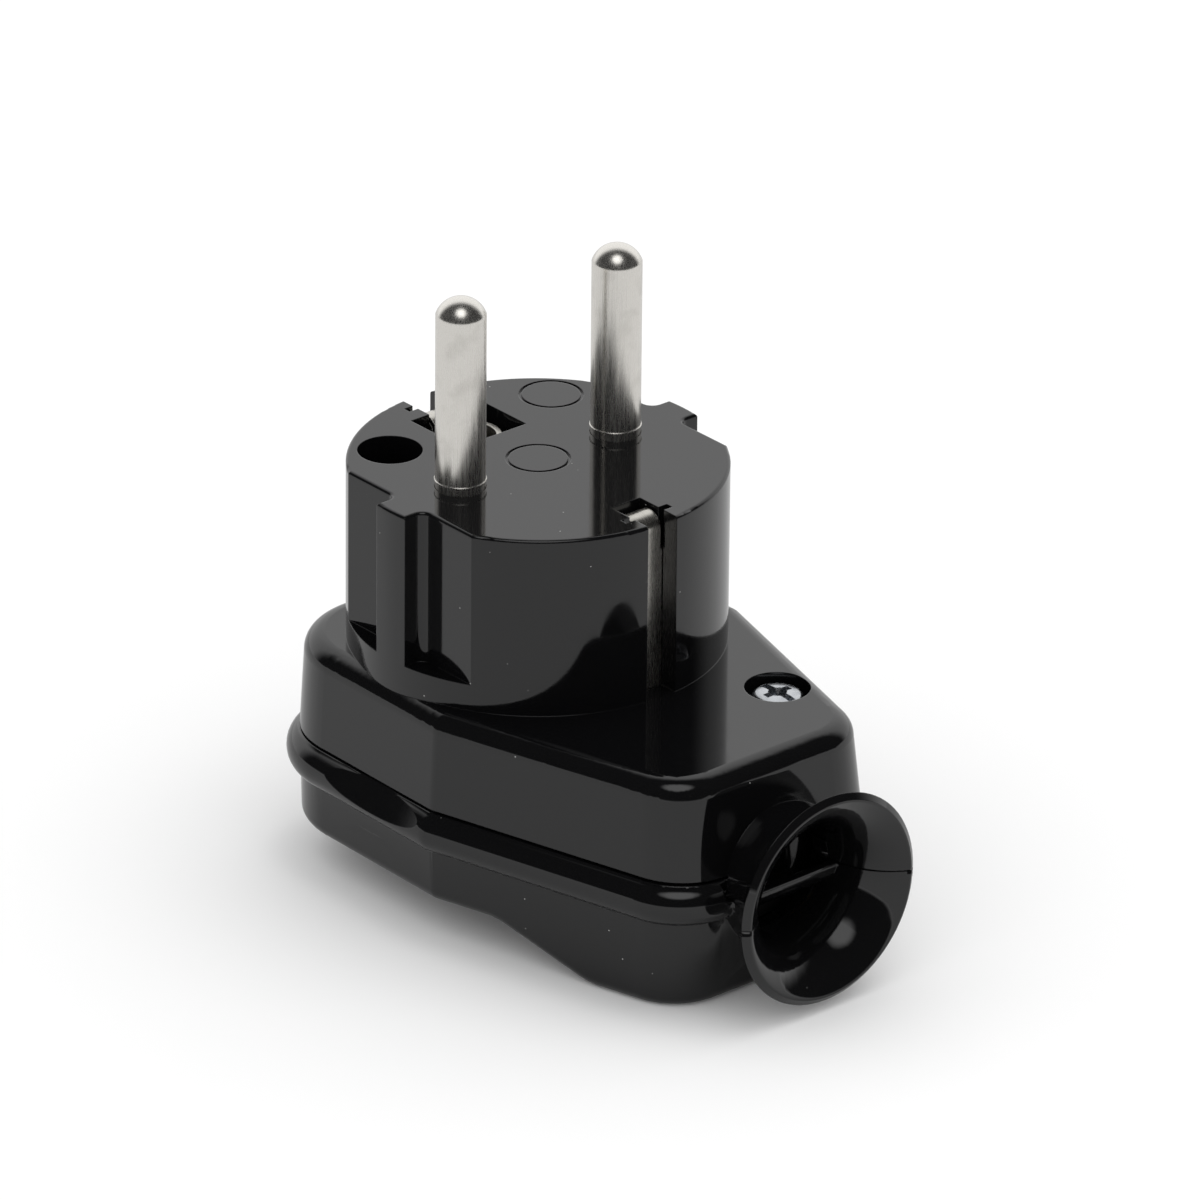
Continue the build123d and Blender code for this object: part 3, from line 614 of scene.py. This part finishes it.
@dataclass
class Screws(GrownPiece):
    """Pan-head screws with a combined slot and cross and a wound thread."""

    head_up: bool = True
    head_r: float = 2.45
    head_h: float = 1.6
    head_steps: int = 64
    foot_edge: float = 0.1
    rim_r: float = 0.5
    rim_end_deg: float = 82
    rim_steps: int = 8
    crown: float = 0.12
    crown_shares: tuple[float, ...] = (0.6, 0.4, 0.2, 0.0)
    slot_width: float = 0.72
    slot_depth: float = 0.95
    slot_share: float = 0.86
    cross_share: float = 0.6
    well_r: tuple[float, float] = (0.25, 0.95)
    well_depth: float = 1.2
    well_proud: float = 0.05
    well_steps: int = 24
    shank_r: float = 1.5
    shank_steps: int = 32
    pitch: float = 0.5
    thread_length: float = 6.5
    thread_depth: float = 0.28
    thread_steps: int = 28
    thread_corners: int = 4

    def sizes(self) -> dict[str, float]:
        """Name and millimetres of each of the tree's sizes."""
        return {
            "Shank Radius": self.shank_r, "Thread Pitch": self.pitch, "Thread Length": self.thread_length,
            "Thread Depth": self.thread_depth, "Head Height": self.head_h, "Slot Width": self.slot_width,
            "Slot Depth": self.slot_depth,
        }

    def places(self) -> list[tuple[Vector, float]]:
        """Seat and shank length of each screw of the nodes that these replace."""
        found = []
        for name in self.replaces:
            for low, high in solid_boxes(name):
                seat = high.z - self.head_h * MM if self.head_up else low.z + self.head_h * MM
                tip = low.z if self.head_up else high.z
                found.append((Vector(((low.x + high.x) / 2, (low.y + high.y) / 2, seat)), abs(seat - tip)))
        return found

    def blank(self) -> bpy.types.Object:
        """Turn the head before its slots are pressed in."""
        rim_centre = (self.head_r - self.rim_r, self.head_h - self.crown - self.rim_r)
        rim = arc(rim_centre, self.rim_r, 0, self.rim_end_deg, self.rim_steps)
        top = [(self.head_r * share, self.head_h - self.crown * share ** 2) for share in self.crown_shares]
        foot = [(0.0, 0.0), (self.head_r - self.foot_edge, 0.0), (self.head_r, self.foot_edge)]
        name = self.name + "_blank"
        return link(name, lathe(name, foot + rim + top, self.head_steps))

    def pressed_head(self, tree: bpy.types.NodeTree, size: dict[str, Socket]) -> Socket:
        """Press the slot, the cross and its conical well into the blank.

        Args:
            tree: Tree that gets the nodes.
            size: Output socket of each named size.

        Returns:
            Geometry of the head, its seat at height 0.
        """
        blank = self.blank()
        self.helpers.append(blank)
        head = node(tree, "GeometryNodeObjectInfo", {"Object": blank}).outputs["Geometry"]
        double = node(tree, "ShaderNodeMath", {0: size["Slot Depth"], 1: 2.0}, operation="MULTIPLY")
        top = node(tree, "ShaderNodeCombineXYZ", {2: size["Head Height"]})
        cutters = []
        for share, across in ((self.slot_share, False), (self.cross_share, True)):
            reach = 2 * self.head_r * share * MM
            wide = node(tree, "ShaderNodeCombineXYZ", {
                0: size["Slot Width"] if across else reach,
                1: reach if across else size["Slot Width"],
                2: double.outputs[0],
            })
            box = node(tree, "GeometryNodeMeshCube", {"Size": wide.outputs[0]})
            cutters.append(box.outputs[0])
        tip_r, mouth_r = self.well_r
        cone = node(tree, "GeometryNodeMeshCone", {
            "Vertices": self.well_steps, "Radius Top": mouth_r * MM, "Radius Bottom": tip_r * MM,
            "Depth": (self.well_depth + self.well_proud) * MM,
        })
        sunk = node(tree, "GeometryNodeTransform", {
            0: cone.outputs[0], "Translation": (0, 0, -self.well_depth * MM),
        })
        cutters.append(sunk.outputs[0])
        joined = node(tree, "GeometryNodeMeshBoolean", {1: cutters}, operation="UNION", solver="EXACT")
        raised = node(tree, "GeometryNodeTransform", {0: joined.outputs[0], "Translation": top.outputs[0]})
        cut = node(tree, "GeometryNodeMeshBoolean", {0: head, 1: raised.outputs[0]}, operation="DIFFERENCE",
                   solver="EXACT")
        return cut.outputs[0]

    def root(self, tree: bpy.types.NodeTree, size: dict[str, Socket]) -> Socket:
        """Radius at the bottom of the thread."""
        return node(tree, "ShaderNodeMath", {
            0: size["Shank Radius"], 1: size["Thread Depth"],
        }, operation="SUBTRACT").outputs[0]

    def thread(self, tree: bpy.types.NodeTree, size: dict[str, Socket]) -> Socket:
        """Wind one thread, its start at height 0.

        Args:
            tree: Tree that gets the nodes.
            size: Output socket of each named size.

        Returns:
            Geometry of the thread's ridge.
        """
        turns = node(tree, "ShaderNodeMath", {
            0: size["Thread Length"], 1: size["Thread Pitch"],
        }, operation="DIVIDE")
        root = self.root(tree, size)
        path = node(tree, "GeometryNodeCurveSpiral", {
            "Resolution": self.thread_steps, "Rotations": turns.outputs[0], "Start Radius": root,
            "End Radius": root, "Height": size["Thread Length"],
        })
        ridge = node(tree, "GeometryNodeCurvePrimitiveCircle", {
            "Resolution": self.thread_corners, "Radius": size["Thread Depth"],
        })
        return node(tree, "GeometryNodeCurveToMesh", {
            "Curve": path.outputs[0], "Profile Curve": ridge.outputs[0], "Fill Caps": True,
        }).outputs[0]

    def grow(self, tree: bpy.types.NodeTree, size: dict[str, Socket], points: Socket) -> Socket:
        """Put a head, a shank and a thread at each seat.

        Args:
            tree: Tree that gets the nodes.
            size: Output socket of each named size.
            points: Seats that carry a shank length each.

        Returns:
            Geometry of all the screws.
        """
        turn = (0 if self.head_up else math.pi, 0, 0)
        down = -1 if self.head_up else 1
        stored = node(tree, "GeometryNodeInputNamedAttribute", {"Name": "length"}, data_type="FLOAT")
        length = stored.outputs[0]
        stretch = node(tree, "ShaderNodeCombineXYZ", {0: 1.0, 1: 1.0, 2: length})
        drop = node(tree, "ShaderNodeMath", {0: length, 1: float(down)}, operation="MULTIPLY")
        way = node(tree, "ShaderNodeCombineXYZ", {2: drop.outputs[0]})
        tips = node(tree, "GeometryNodeSetPosition", {"Geometry": points, "Offset": way.outputs[0]})
        core = node(tree, "GeometryNodeMeshCylinder", {
            "Vertices": self.shank_steps, "Radius": self.root(tree, size), "Depth": 1.0,
        })
        seated = node(tree, "GeometryNodeTransform", {0: core.outputs[0], "Translation": (0, 0, 0.5)})
        heads = node(tree, "GeometryNodeInstanceOnPoints", {
            "Points": points, "Instance": self.pressed_head(tree, size), "Rotation": turn,
        })
        shanks = node(tree, "GeometryNodeInstanceOnPoints", {
            "Points": tips.outputs[0], "Instance": seated.outputs[0], "Rotation": turn,
            "Scale": stretch.outputs[0],
        })
        threads = node(tree, "GeometryNodeInstanceOnPoints", {
            "Points": tips.outputs[0], "Instance": self.thread(tree, size), "Rotation": turn,
        })
        return node(tree, "GeometryNodeJoinGeometry", {
            0: [heads.outputs[0], shanks.outputs[0], threads.outputs[0]],
        }).outputs[0]


@dataclass
class Springs(GrownPiece):
    """Compression springs with closed ends, leaning with the rocker."""

    body: str = "rocker"
    slot: Slot = Slot.SPRING_STEEL
    pivot: tuple[float, float, float] = ROCKER_PIVOT
    coil_r: float = 1.1
    coil_steps: int = 32
    wire_r: float = 0.2
    wire_steps: int = 12
    turns: float = 5.5
    end_turns: float = 1.0

    def sizes(self) -> dict[str, float]:
        """Name and millimetres of each of the tree's sizes."""
        return {"Coil Radius": self.coil_r, "Wire Radius": self.wire_r}

    def axis(self) -> tuple[Vector, float]:
        """Direction of the springs in the XZ plane and their lean about Y."""
        low, high = solid_boxes(self.replaces[0])[0]
        middle = (low + high) / 2 - Vector(self.pivot) * MM
        lean = math.atan2(middle.x, middle.z)
        return Vector((math.sin(lean), 0, math.cos(lean))), lean

    def places(self) -> list[tuple[Vector, float]]:
        """Lower end and free length of each spring that these replace."""
        way, lean = self.axis()
        found = []
        for name in self.replaces:
            low, high = solid_boxes(name)[0]
            wide = 2 * (self.coil_r + self.wire_r) * MM * abs(math.sin(lean))
            length = (high.z - low.z - wide) / math.cos(lean) - 2 * self.wire_r * MM
            found.append(((low + high) / 2 - way * length / 2, length))
        return found

    def grow(self, tree: bpy.types.NodeTree, size: dict[str, Socket], points: Socket) -> Socket:
        """Wind a coil whose pitch closes up at both ends, and put one at each point.

        Args:
            tree: Tree that gets the nodes.
            size: Output socket of each named size.
            points: Lower ends that carry a length each.

        Returns:
            Geometry of all the springs.
        """
        length = self.places()[0][1]
        share = self.end_turns / self.turns
        closed = 2 * self.wire_r * MM * self.turns / length
        opened = (1 - 2 * share * closed) / (1 - 2 * share)
        coil = node(tree, "GeometryNodeCurveSpiral", {
            "Resolution": self.coil_steps, "Rotations": self.turns, "Start Radius": size["Coil Radius"],
            "End Radius": size["Coil Radius"], "Height": 0.0,
        })
        along = node(tree, "GeometryNodeSplineParameter").outputs["Factor"]
        middle = node(tree, "ShaderNodeMapRange", {
            0: along, 1: share, 2: 1 - share, 3: 0.0, 4: 1 - 2 * share,
        })
        risen = node(tree, "ShaderNodeMath", {
            0: middle.outputs[0], 1: opened - closed,
        }, operation="MULTIPLY")
        total = node(tree, "ShaderNodeMath", {
            0: along, 1: closed, 2: risen.outputs[0],
        }, operation="MULTIPLY_ADD")
        height = node(tree, "ShaderNodeMath", {0: total.outputs[0], 1: length}, operation="MULTIPLY")
        lift = node(tree, "ShaderNodeCombineXYZ", {2: height.outputs[0]})
        path = node(tree, "GeometryNodeSetPosition", {"Geometry": coil.outputs[0], "Offset": lift.outputs[0]})
        wire = node(tree, "GeometryNodeCurvePrimitiveCircle", {
            "Resolution": self.wire_steps, "Radius": size["Wire Radius"],
        })
        swept = node(tree, "GeometryNodeCurveToMesh", {
            "Curve": path.outputs[0], "Profile Curve": wire.outputs[0], "Fill Caps": True,
        })
        return node(tree, "GeometryNodeInstanceOnPoints", {
            "Points": points, "Instance": swept.outputs[0], "Rotation": (0, self.axis()[1], 0),
        }).outputs[0]


@dataclass
class Pins:
    """The two turned contact pins with the thin ridge at their feet."""

    pitch: float = 19.0
    r: float = 2.4
    shoulder_z: float = 17.6
    shoulder_run: float = 0.25
    tip_z: float = 19.3
    dome_end_deg: float = 88
    dome_steps: int = 20
    ridge_z: float = 0.8
    ridge_r: float = 2.48
    ridge_h: float = 0.12
    head_z: tuple[float, float] = (-18.5, -17.0)
    head_r: float = 3.9
    rivet_r: float = 1.5
    rivet_z: tuple[float, float] = (-20.3, -19.3)
    rivet_head_r: float = 2.2
    chamfer: float = 0.12
    segments: int = 128

    def profile(self) -> list[tuple[float, float]]:
        """List a pin's radii and heights from its rivet to its tip."""
        rise = self.tip_z - self.shoulder_z
        dome_r = (self.r ** 2 + rise ** 2) / (2 * rise)
        start = math.degrees(math.acos(self.r / dome_r))
        dome = arc((0.0, self.tip_z - dome_r), dome_r, start, self.dome_end_deg, self.dome_steps)
        c = self.chamfer
        rivet_low, rivet_high = self.rivet_z
        head_low, head_high = self.head_z
        half = self.ridge_h / 2
        return [
            (0.0, rivet_low), (self.rivet_head_r - 3 * c, rivet_low), (self.rivet_head_r, rivet_low + 3 * c),
            (self.rivet_head_r, rivet_high), (self.rivet_r, rivet_high), (self.rivet_r, head_low),
            (self.head_r - c, head_low), (self.head_r, head_low + c), (self.head_r, head_high - c),
            (self.head_r - c, head_high), (self.r, head_high), (self.r, self.ridge_z - half),
            (self.ridge_r, self.ridge_z - half / 3), (self.ridge_r, self.ridge_z + half / 3),
            (self.r, self.ridge_z + half), (self.r, self.shoulder_z - self.shoulder_run), *dome,
            (0.0, self.tip_z),
        ]

    def build(self) -> None:
        """Turn both pins."""
        for name, side in (("line_pin", -1), ("neutral_pin", 1)):
            mesh = lathe(name + "_turned", self.profile(), self.segments)
            mesh.transform(Matrix.Translation((0, side * self.pitch / 2 * MM, 0)))
            hand_over(mesh, name + "_turned", "housing", TURNED_NICKEL, (name,))


@dataclass
class Shells:
    """Front shell as it is, and the back shell with a finger scoop in its bead on either side."""

    scoop_r: float = 42.0
    scoop_x: float = -0.7
    scoop_y: float = 19.05
    scoop_z: float = -28.05
    scoop_tilt: float = math.radians(26)
    cutter_ends: tuple[float, float] = (-12.0, 4.0)
    cutter_steps: int = 480
    sharp_deg: float = 32.0
    flat_weight: int = 100

    def cutter(self, side: int) -> bpy.types.Object:
        """Make the round cutter of one scoop.

        Args:
            side: 1 towards the neutral pin and -1 towards the line pin.

        Returns:
            The cutter, tilted so that it takes most off the bead's upper edge.
        """
        t = self.scoop_tilt
        low, high = self.cutter_ends
        outline = [(0.0, low), (self.scoop_r, low), (self.scoop_r, high), (0.0, high)]
        mesh = lathe("scoop_cutter", outline, self.cutter_steps)
        centre = Vector((
            self.scoop_x,
            side * (self.scoop_y + self.scoop_r * math.cos(t)),
            self.scoop_z + self.scoop_r * math.sin(t),
        )) * MM
        mesh.transform(Matrix.Translation(centre) @ Matrix.Rotation(side * t, 4, "X"))
        self.number_faces(mesh, 1)
        return link("scoop_cutter", mesh)

    def number_faces(self, mesh: bpy.types.Mesh, index: int) -> None:
        """Give a mesh two empty material slots and its faces one of them, to tell cut faces apart."""
        mesh.materials.clear()
        mesh.materials.append(None)
        mesh.materials.append(None)
        mesh.polygons.foreach_set("material_index", [index] * len(mesh.polygons))

    def crisp_rims(self, mesh: bpy.types.Mesh) -> None:
        """Mark the edges between cut and moulded faces sharp, however shallow they are."""
        shape = bmesh.new()
        shape.from_mesh(mesh)
        for edge in shape.edges:
            if len({face.material_index for face in edge.link_faces}) > 1:
                edge.smooth = False
        shape.to_mesh(mesh)
        shape.free()

    def scooped_back(self) -> bpy.types.Mesh:
        """Cut both scoops into a merged copy of the back shell.

        Returns:
            Mesh whose flat faces keep flat normals.
        """
        merged = merged_copy("back_shell")
        mesh = bpy.data.meshes.new("back_shell_scooped")
        merged.to_mesh(mesh)
        merged.free()
        self.number_faces(mesh, 0)
        host = link("back_host", mesh)
        cutters = [self.cutter(side) for side in (-1, 1)]
        for cutter in cutters:
            cut = host.modifiers.new("scoop", "BOOLEAN")
            cut.operation = "DIFFERENCE"
            cut.solver = "EXACT"
            cut.object = cutter
        cut_mesh = applied(host, *cutters)
        soften(cut_mesh, self.sharp_deg)
        self.crisp_rims(cut_mesh)
        self.number_faces(cut_mesh, 0)
        holder = link("back_normals", cut_mesh)
        weighted = holder.modifiers.new("weighted", "WEIGHTED_NORMAL")
        weighted.keep_sharp = True
        weighted.weight = self.flat_weight
        return applied(holder)

    def build(self) -> None:
        """Dress the front shell and build the back one."""
        dress(GLOSS_BLACK, "front_shell")
        hand_over(self.scooped_back(), "back_shell_scooped", "housing", GLOSS_BLACK,
                  ("back_shell",))


@dataclass
class Rocker:
    """Rocker with its plungers and springs, and a printed bar and ring for on and off."""

    pivot: tuple[float, float, float] = ROCKER_PIVOT
    lean: float = math.radians(-8)
    valley: float = 2.424
    mark_x: float = 5.2
    mark_h: float = 0.06
    bar: tuple[float, float] = (0.75, 3.6)
    ring_r: tuple[float, float] = (1.3, 1.95)
    ring_steps: int = 96

    def bar_mesh(self) -> bpy.types.Mesh:
        """Make the bar that stands for on."""
        wide, long = self.bar
        shape = bmesh.new()
        bmesh.ops.create_cube(shape, size=1.0)
        bmesh.ops.scale(shape, vec=(wide * MM, long * MM, 2 * self.mark_h * MM), verts=shape.verts)
        mesh = bpy.data.meshes.new("bar")
        shape.to_mesh(mesh)
        shape.free()
        return mesh

    def ring_mesh(self) -> bpy.types.Mesh:
        """Make the ring that stands for off."""
        inner, outer = self.ring_r
        h = self.mark_h
        return lathe_ring("ring", [(inner, -h), (outer, -h), (outer, h), (inner, h)], self.ring_steps)

    def on_paddle(self, side: int) -> Matrix:
        """Find where a mark lies.

        Args:
            side: 1 for the paddle towards the cord and -1 for the other.

        Returns:
            Place of the mark with the rocker at rest.
        """
        paddle_slope = abs(self.lean)
        down = self.valley + self.mark_x * math.tan(paddle_slope)
        to_paddle = Matrix.Translation(Vector((side * self.mark_x, 0, -down)) * MM)
        at_rest = Matrix.Translation(Vector(self.pivot) * MM) @ Matrix.Rotation(self.lean, 4, "Y")
        return at_rest @ to_paddle @ Matrix.Rotation(side * paddle_slope, 4, "Y")

    def build(self) -> None:
        """Dress the rocker and its plungers, wind its springs and print its marks."""
        dress(ROCKER_BLACK, "rocker")
        dress(FILLED_BLACK, "line_plunger", "neutral_plunger")
        Springs("rocker_springs", finish=SPRING_STEEL, replaces=("line_spring", "neutral_spring")).build()
        for name, side, mesh in (("on_mark", 1, self.bar_mesh()), ("off_mark", -1, self.ring_mesh())):
            mesh.transform(self.on_paddle(side))
            hand_over(mesh, name, "rocker", WHITE_PRINT)


@dataclass
class Fasteners:
    """All screws and nuts of the plug."""

    terminal_thread: float = 3.0
    carrier_shank_r: float = 1.25
    clamp_thread: float = 9.0

    def build(self) -> None:
        """Dress the nuts and build each kind of screw."""
        dress(ZINC, "shell_nuts")
        kinds = {
            "shell_screws": {},
            "terminal_screws": {"head_up": False, "thread_length": self.terminal_thread},
            "carrier_screws": {"head_up": False, "shank_r": self.carrier_shank_r},
            "clamp_screws": {"head_up": False, "thread_length": self.clamp_thread},
        }
        for name, sizes in kinds.items():
            Screws(name + "_threaded", finish=ZINC, replaces=(name,), **sizes).build()


@dataclass
class Contacts:
    """Earth contacts, contact strips, terminals and what carries them."""

    strips: tuple[str, ...] = (
        "earth_link", "line_centre_contact", "neutral_centre_contact", "line_blade", "neutral_blade",
        "line_load_contact", "neutral_load_contact",
    )
    blocks: tuple[str, ...] = ("line_terminal", "neutral_terminal", "earth_terminal")

    def dress(self) -> None:
        """Give each contact its metal, and the insulating pieces their plastic."""
        dress(STRIP_NICKEL, "earth_strap", "earth_socket")
        dress(STRIP_BRASS, *self.strips)
        dress(BLOCK_BRASS, *self.blocks)
        dress(FILLED_BLACK, "contact_carrier", "cord_clamp")


@dataclass
class Camera:
    """Camera at the photograph's place."""

    azimuth: float = math.radians(49.417)
    elevation: float = math.radians(25.884)
    roll: float = math.radians(0.546)
    distance: float = 1.236363
    aside: float = -5.79 * MM
    above: float = 13.305 * MM
    focal_px: float = 13190.8
    photo_px: float = 1200.0
    sensor_mm: float = 36.0
    clip: tuple[float, float] = (0.05, 20.0)

    def build(self) -> bpy.types.Object:
        """Make the camera and make it the scene's.

        Returns:
            The camera object.
        """
        a, e = self.azimuth, self.elevation
        back = Vector((math.sin(a) * math.cos(e), -math.cos(a) * math.cos(e), math.sin(e)))
        level = Vector((math.cos(a), math.sin(a), 0))
        upright = back.cross(level)
        right = level * math.cos(self.roll) + upright * math.sin(self.roll)
        up = upright * math.cos(self.roll) - level * math.sin(self.roll)
        data = bpy.data.cameras.new("camera")
        data.sensor_width = self.sensor_mm
        data.lens = self.focal_px / self.photo_px * self.sensor_mm
        data.clip_start, data.clip_end = self.clip
        camera = link("camera", data)
        turn = Matrix((right, up, back)).transposed().to_4x4()
        place = back * self.distance - right * self.aside - up * self.above
        camera.matrix_world = Matrix.Translation(place) @ turn
        bpy.context.scene.camera = camera
        return camera


@dataclass
class Studio:
    """White sweep under a soft lamp, with the half-dark room and the bright patch that the gloss mirrors."""

    floor_half: float = 3.0
    floor_seen: str = "#ffffff"
    floor_mirrored: str = "#d8d8d8"
    light: float = 0.93
    bright_side: tuple[float, float, float] = (-0.76, 0.65, 0.0)
    dim: float = 0.03
    fade: tuple[float, float] = (0.25, 0.6)
    horizon: float = 0.06
    patch_way: tuple[float, float, float] = (0.333, -0.285, 0.899)
    patch_edge: tuple[float, float] = (0.91, 0.98)
    patch_light: float = 1.5
    lamp_place: tuple[float, float, float] = (0.3, 0.5, 1.8)
    lamp_size: float = 1.4
    lamp_power: float = 6.0

    def floor(self) -> bpy.types.Object:
        """Lay the floor at the object's lowest point.

        Returns:
            The floor.
        """
        z = CAD_BOX[0].z
        half = self.floor_half
        corners = [(-half, -half, z), (half, -half, z), (half, half, z), (-half, half, z)]
        mesh = bpy.data.meshes.new("floor")
        mesh.from_pydata(corners, [], [(0, 1, 2, 3)])
        material = bpy.data.materials.new("matt_white_sweep")
        material.use_nodes = True
        tree = material.node_tree
        tree.nodes.clear()
        ray = node(tree, "ShaderNodeLightPath")
        tone = node(tree, "ShaderNodeMix", {
            0: ray.outputs["Is Camera Ray"], 6: linear(self.floor_mirrored), 7: linear(self.floor_seen),
        }, data_type="RGBA")
        shade = node(tree, "ShaderNodeBsdfDiffuse", {"Color": tone.outputs[2]})
        node(tree, "ShaderNodeOutputMaterial", {"Surface": shade.outputs[0]})
        mesh.materials.append(material)
        floor = link("floor", mesh)
        return floor

    def world(self) -> None:
        """Make the world white to the camera, even as a light, and one-sided in a mirror."""
        world = bpy.data.worlds.new("white_sweep_and_dim_room")
        bpy.context.scene.world = world
        world.use_nodes = True
        tree = world.node_tree
        tree.nodes.clear()
        way = node(tree, "ShaderNodeTexCoord").outputs["Generated"]
        side = node(tree, "ShaderNodeVectorMath", {
            0: way, 1: tuple(Vector(self.bright_side).normalized()),
        }, operation="DOT_PRODUCT")
        swept = node(tree, "ShaderNodeMapRange", {
            0: side.outputs["Value"], 1: self.fade[0], 2: self.fade[1], 3: self.dim, 4: 1.0,
        }, interpolation_type="SMOOTHSTEP")
        height = node(tree, "ShaderNodeSeparateXYZ", {0: way}).outputs[2]
        low = node(tree, "ShaderNodeMapRange", {0: height, 1: 0.0, 2: self.horizon, 3: 1.0, 4: 0.0},
                   interpolation_type="SMOOTHSTEP")
        above = node(tree, "ShaderNodeVectorMath", {
            0: way, 1: tuple(Vector(self.patch_way).normalized()),
        }, operation="DOT_PRODUCT")
        patch = node(tree, "ShaderNodeMapRange", {
            0: above.outputs["Value"], 1: self.patch_edge[0], 2: self.patch_edge[1], 3: 0.0,
            4: self.patch_light,
        }, interpolation_type="SMOOTHSTEP")
        most = node(tree, "ShaderNodeMath", {0: swept.outputs[0], 1: low.outputs[0]}, operation="MAXIMUM")
        mirrored = node(tree, "ShaderNodeMath", {
            0: most.outputs[0], 1: patch.outputs[0],
        }, operation="MAXIMUM")
        ray = node(tree, "ShaderNodeLightPath")
        lit = node(tree, "ShaderNodeMix", {
            0: ray.outputs["Is Glossy Ray"], 2: self.light, 3: mirrored.outputs[0],
        }, data_type="FLOAT")
        seen = node(tree, "ShaderNodeMix", {
            0: ray.outputs["Is Camera Ray"], 2: lit.outputs[0], 3: 1.0,
        }, data_type="FLOAT")
        sky = node(tree, "ShaderNodeBackground", {"Color": linear("#ffffff"), "Strength": seen.outputs[0]})
        node(tree, "ShaderNodeOutputWorld", {"Surface": sky.outputs[0]})

    def lamp(self) -> None:
        """Hang the softbox that gives the floor its shadow."""
        data = bpy.data.lights.new("softbox", "AREA")
        data.shape = "DISK"
        data.size = self.lamp_size
        data.energy = self.lamp_power
        lamp = link("softbox", data)
        lamp.location = self.lamp_place
        lamp.rotation_mode = "QUATERNION"
        lamp.rotation_quaternion = Vector(self.lamp_place).to_track_quat("Z", "Y")
        lamp.visible_glossy = False

    def build(self) -> None:
        """Build floor, world and lamp."""
        self.floor()
        self.world()
        self.lamp()


def main() -> None:
    """Build the studio and dress every piece."""
    bpy.context.scene.view_settings.view_transform = "Standard"
    Camera().build()
    Studio().build()
    Shells().build()
    Pins().build()
    Rocker().build()
    Fasteners().build()
    Contacts().dress()


if __name__ == "__main__":
    logging.basicConfig(level=logging.INFO, format="%(message)s")
    main()
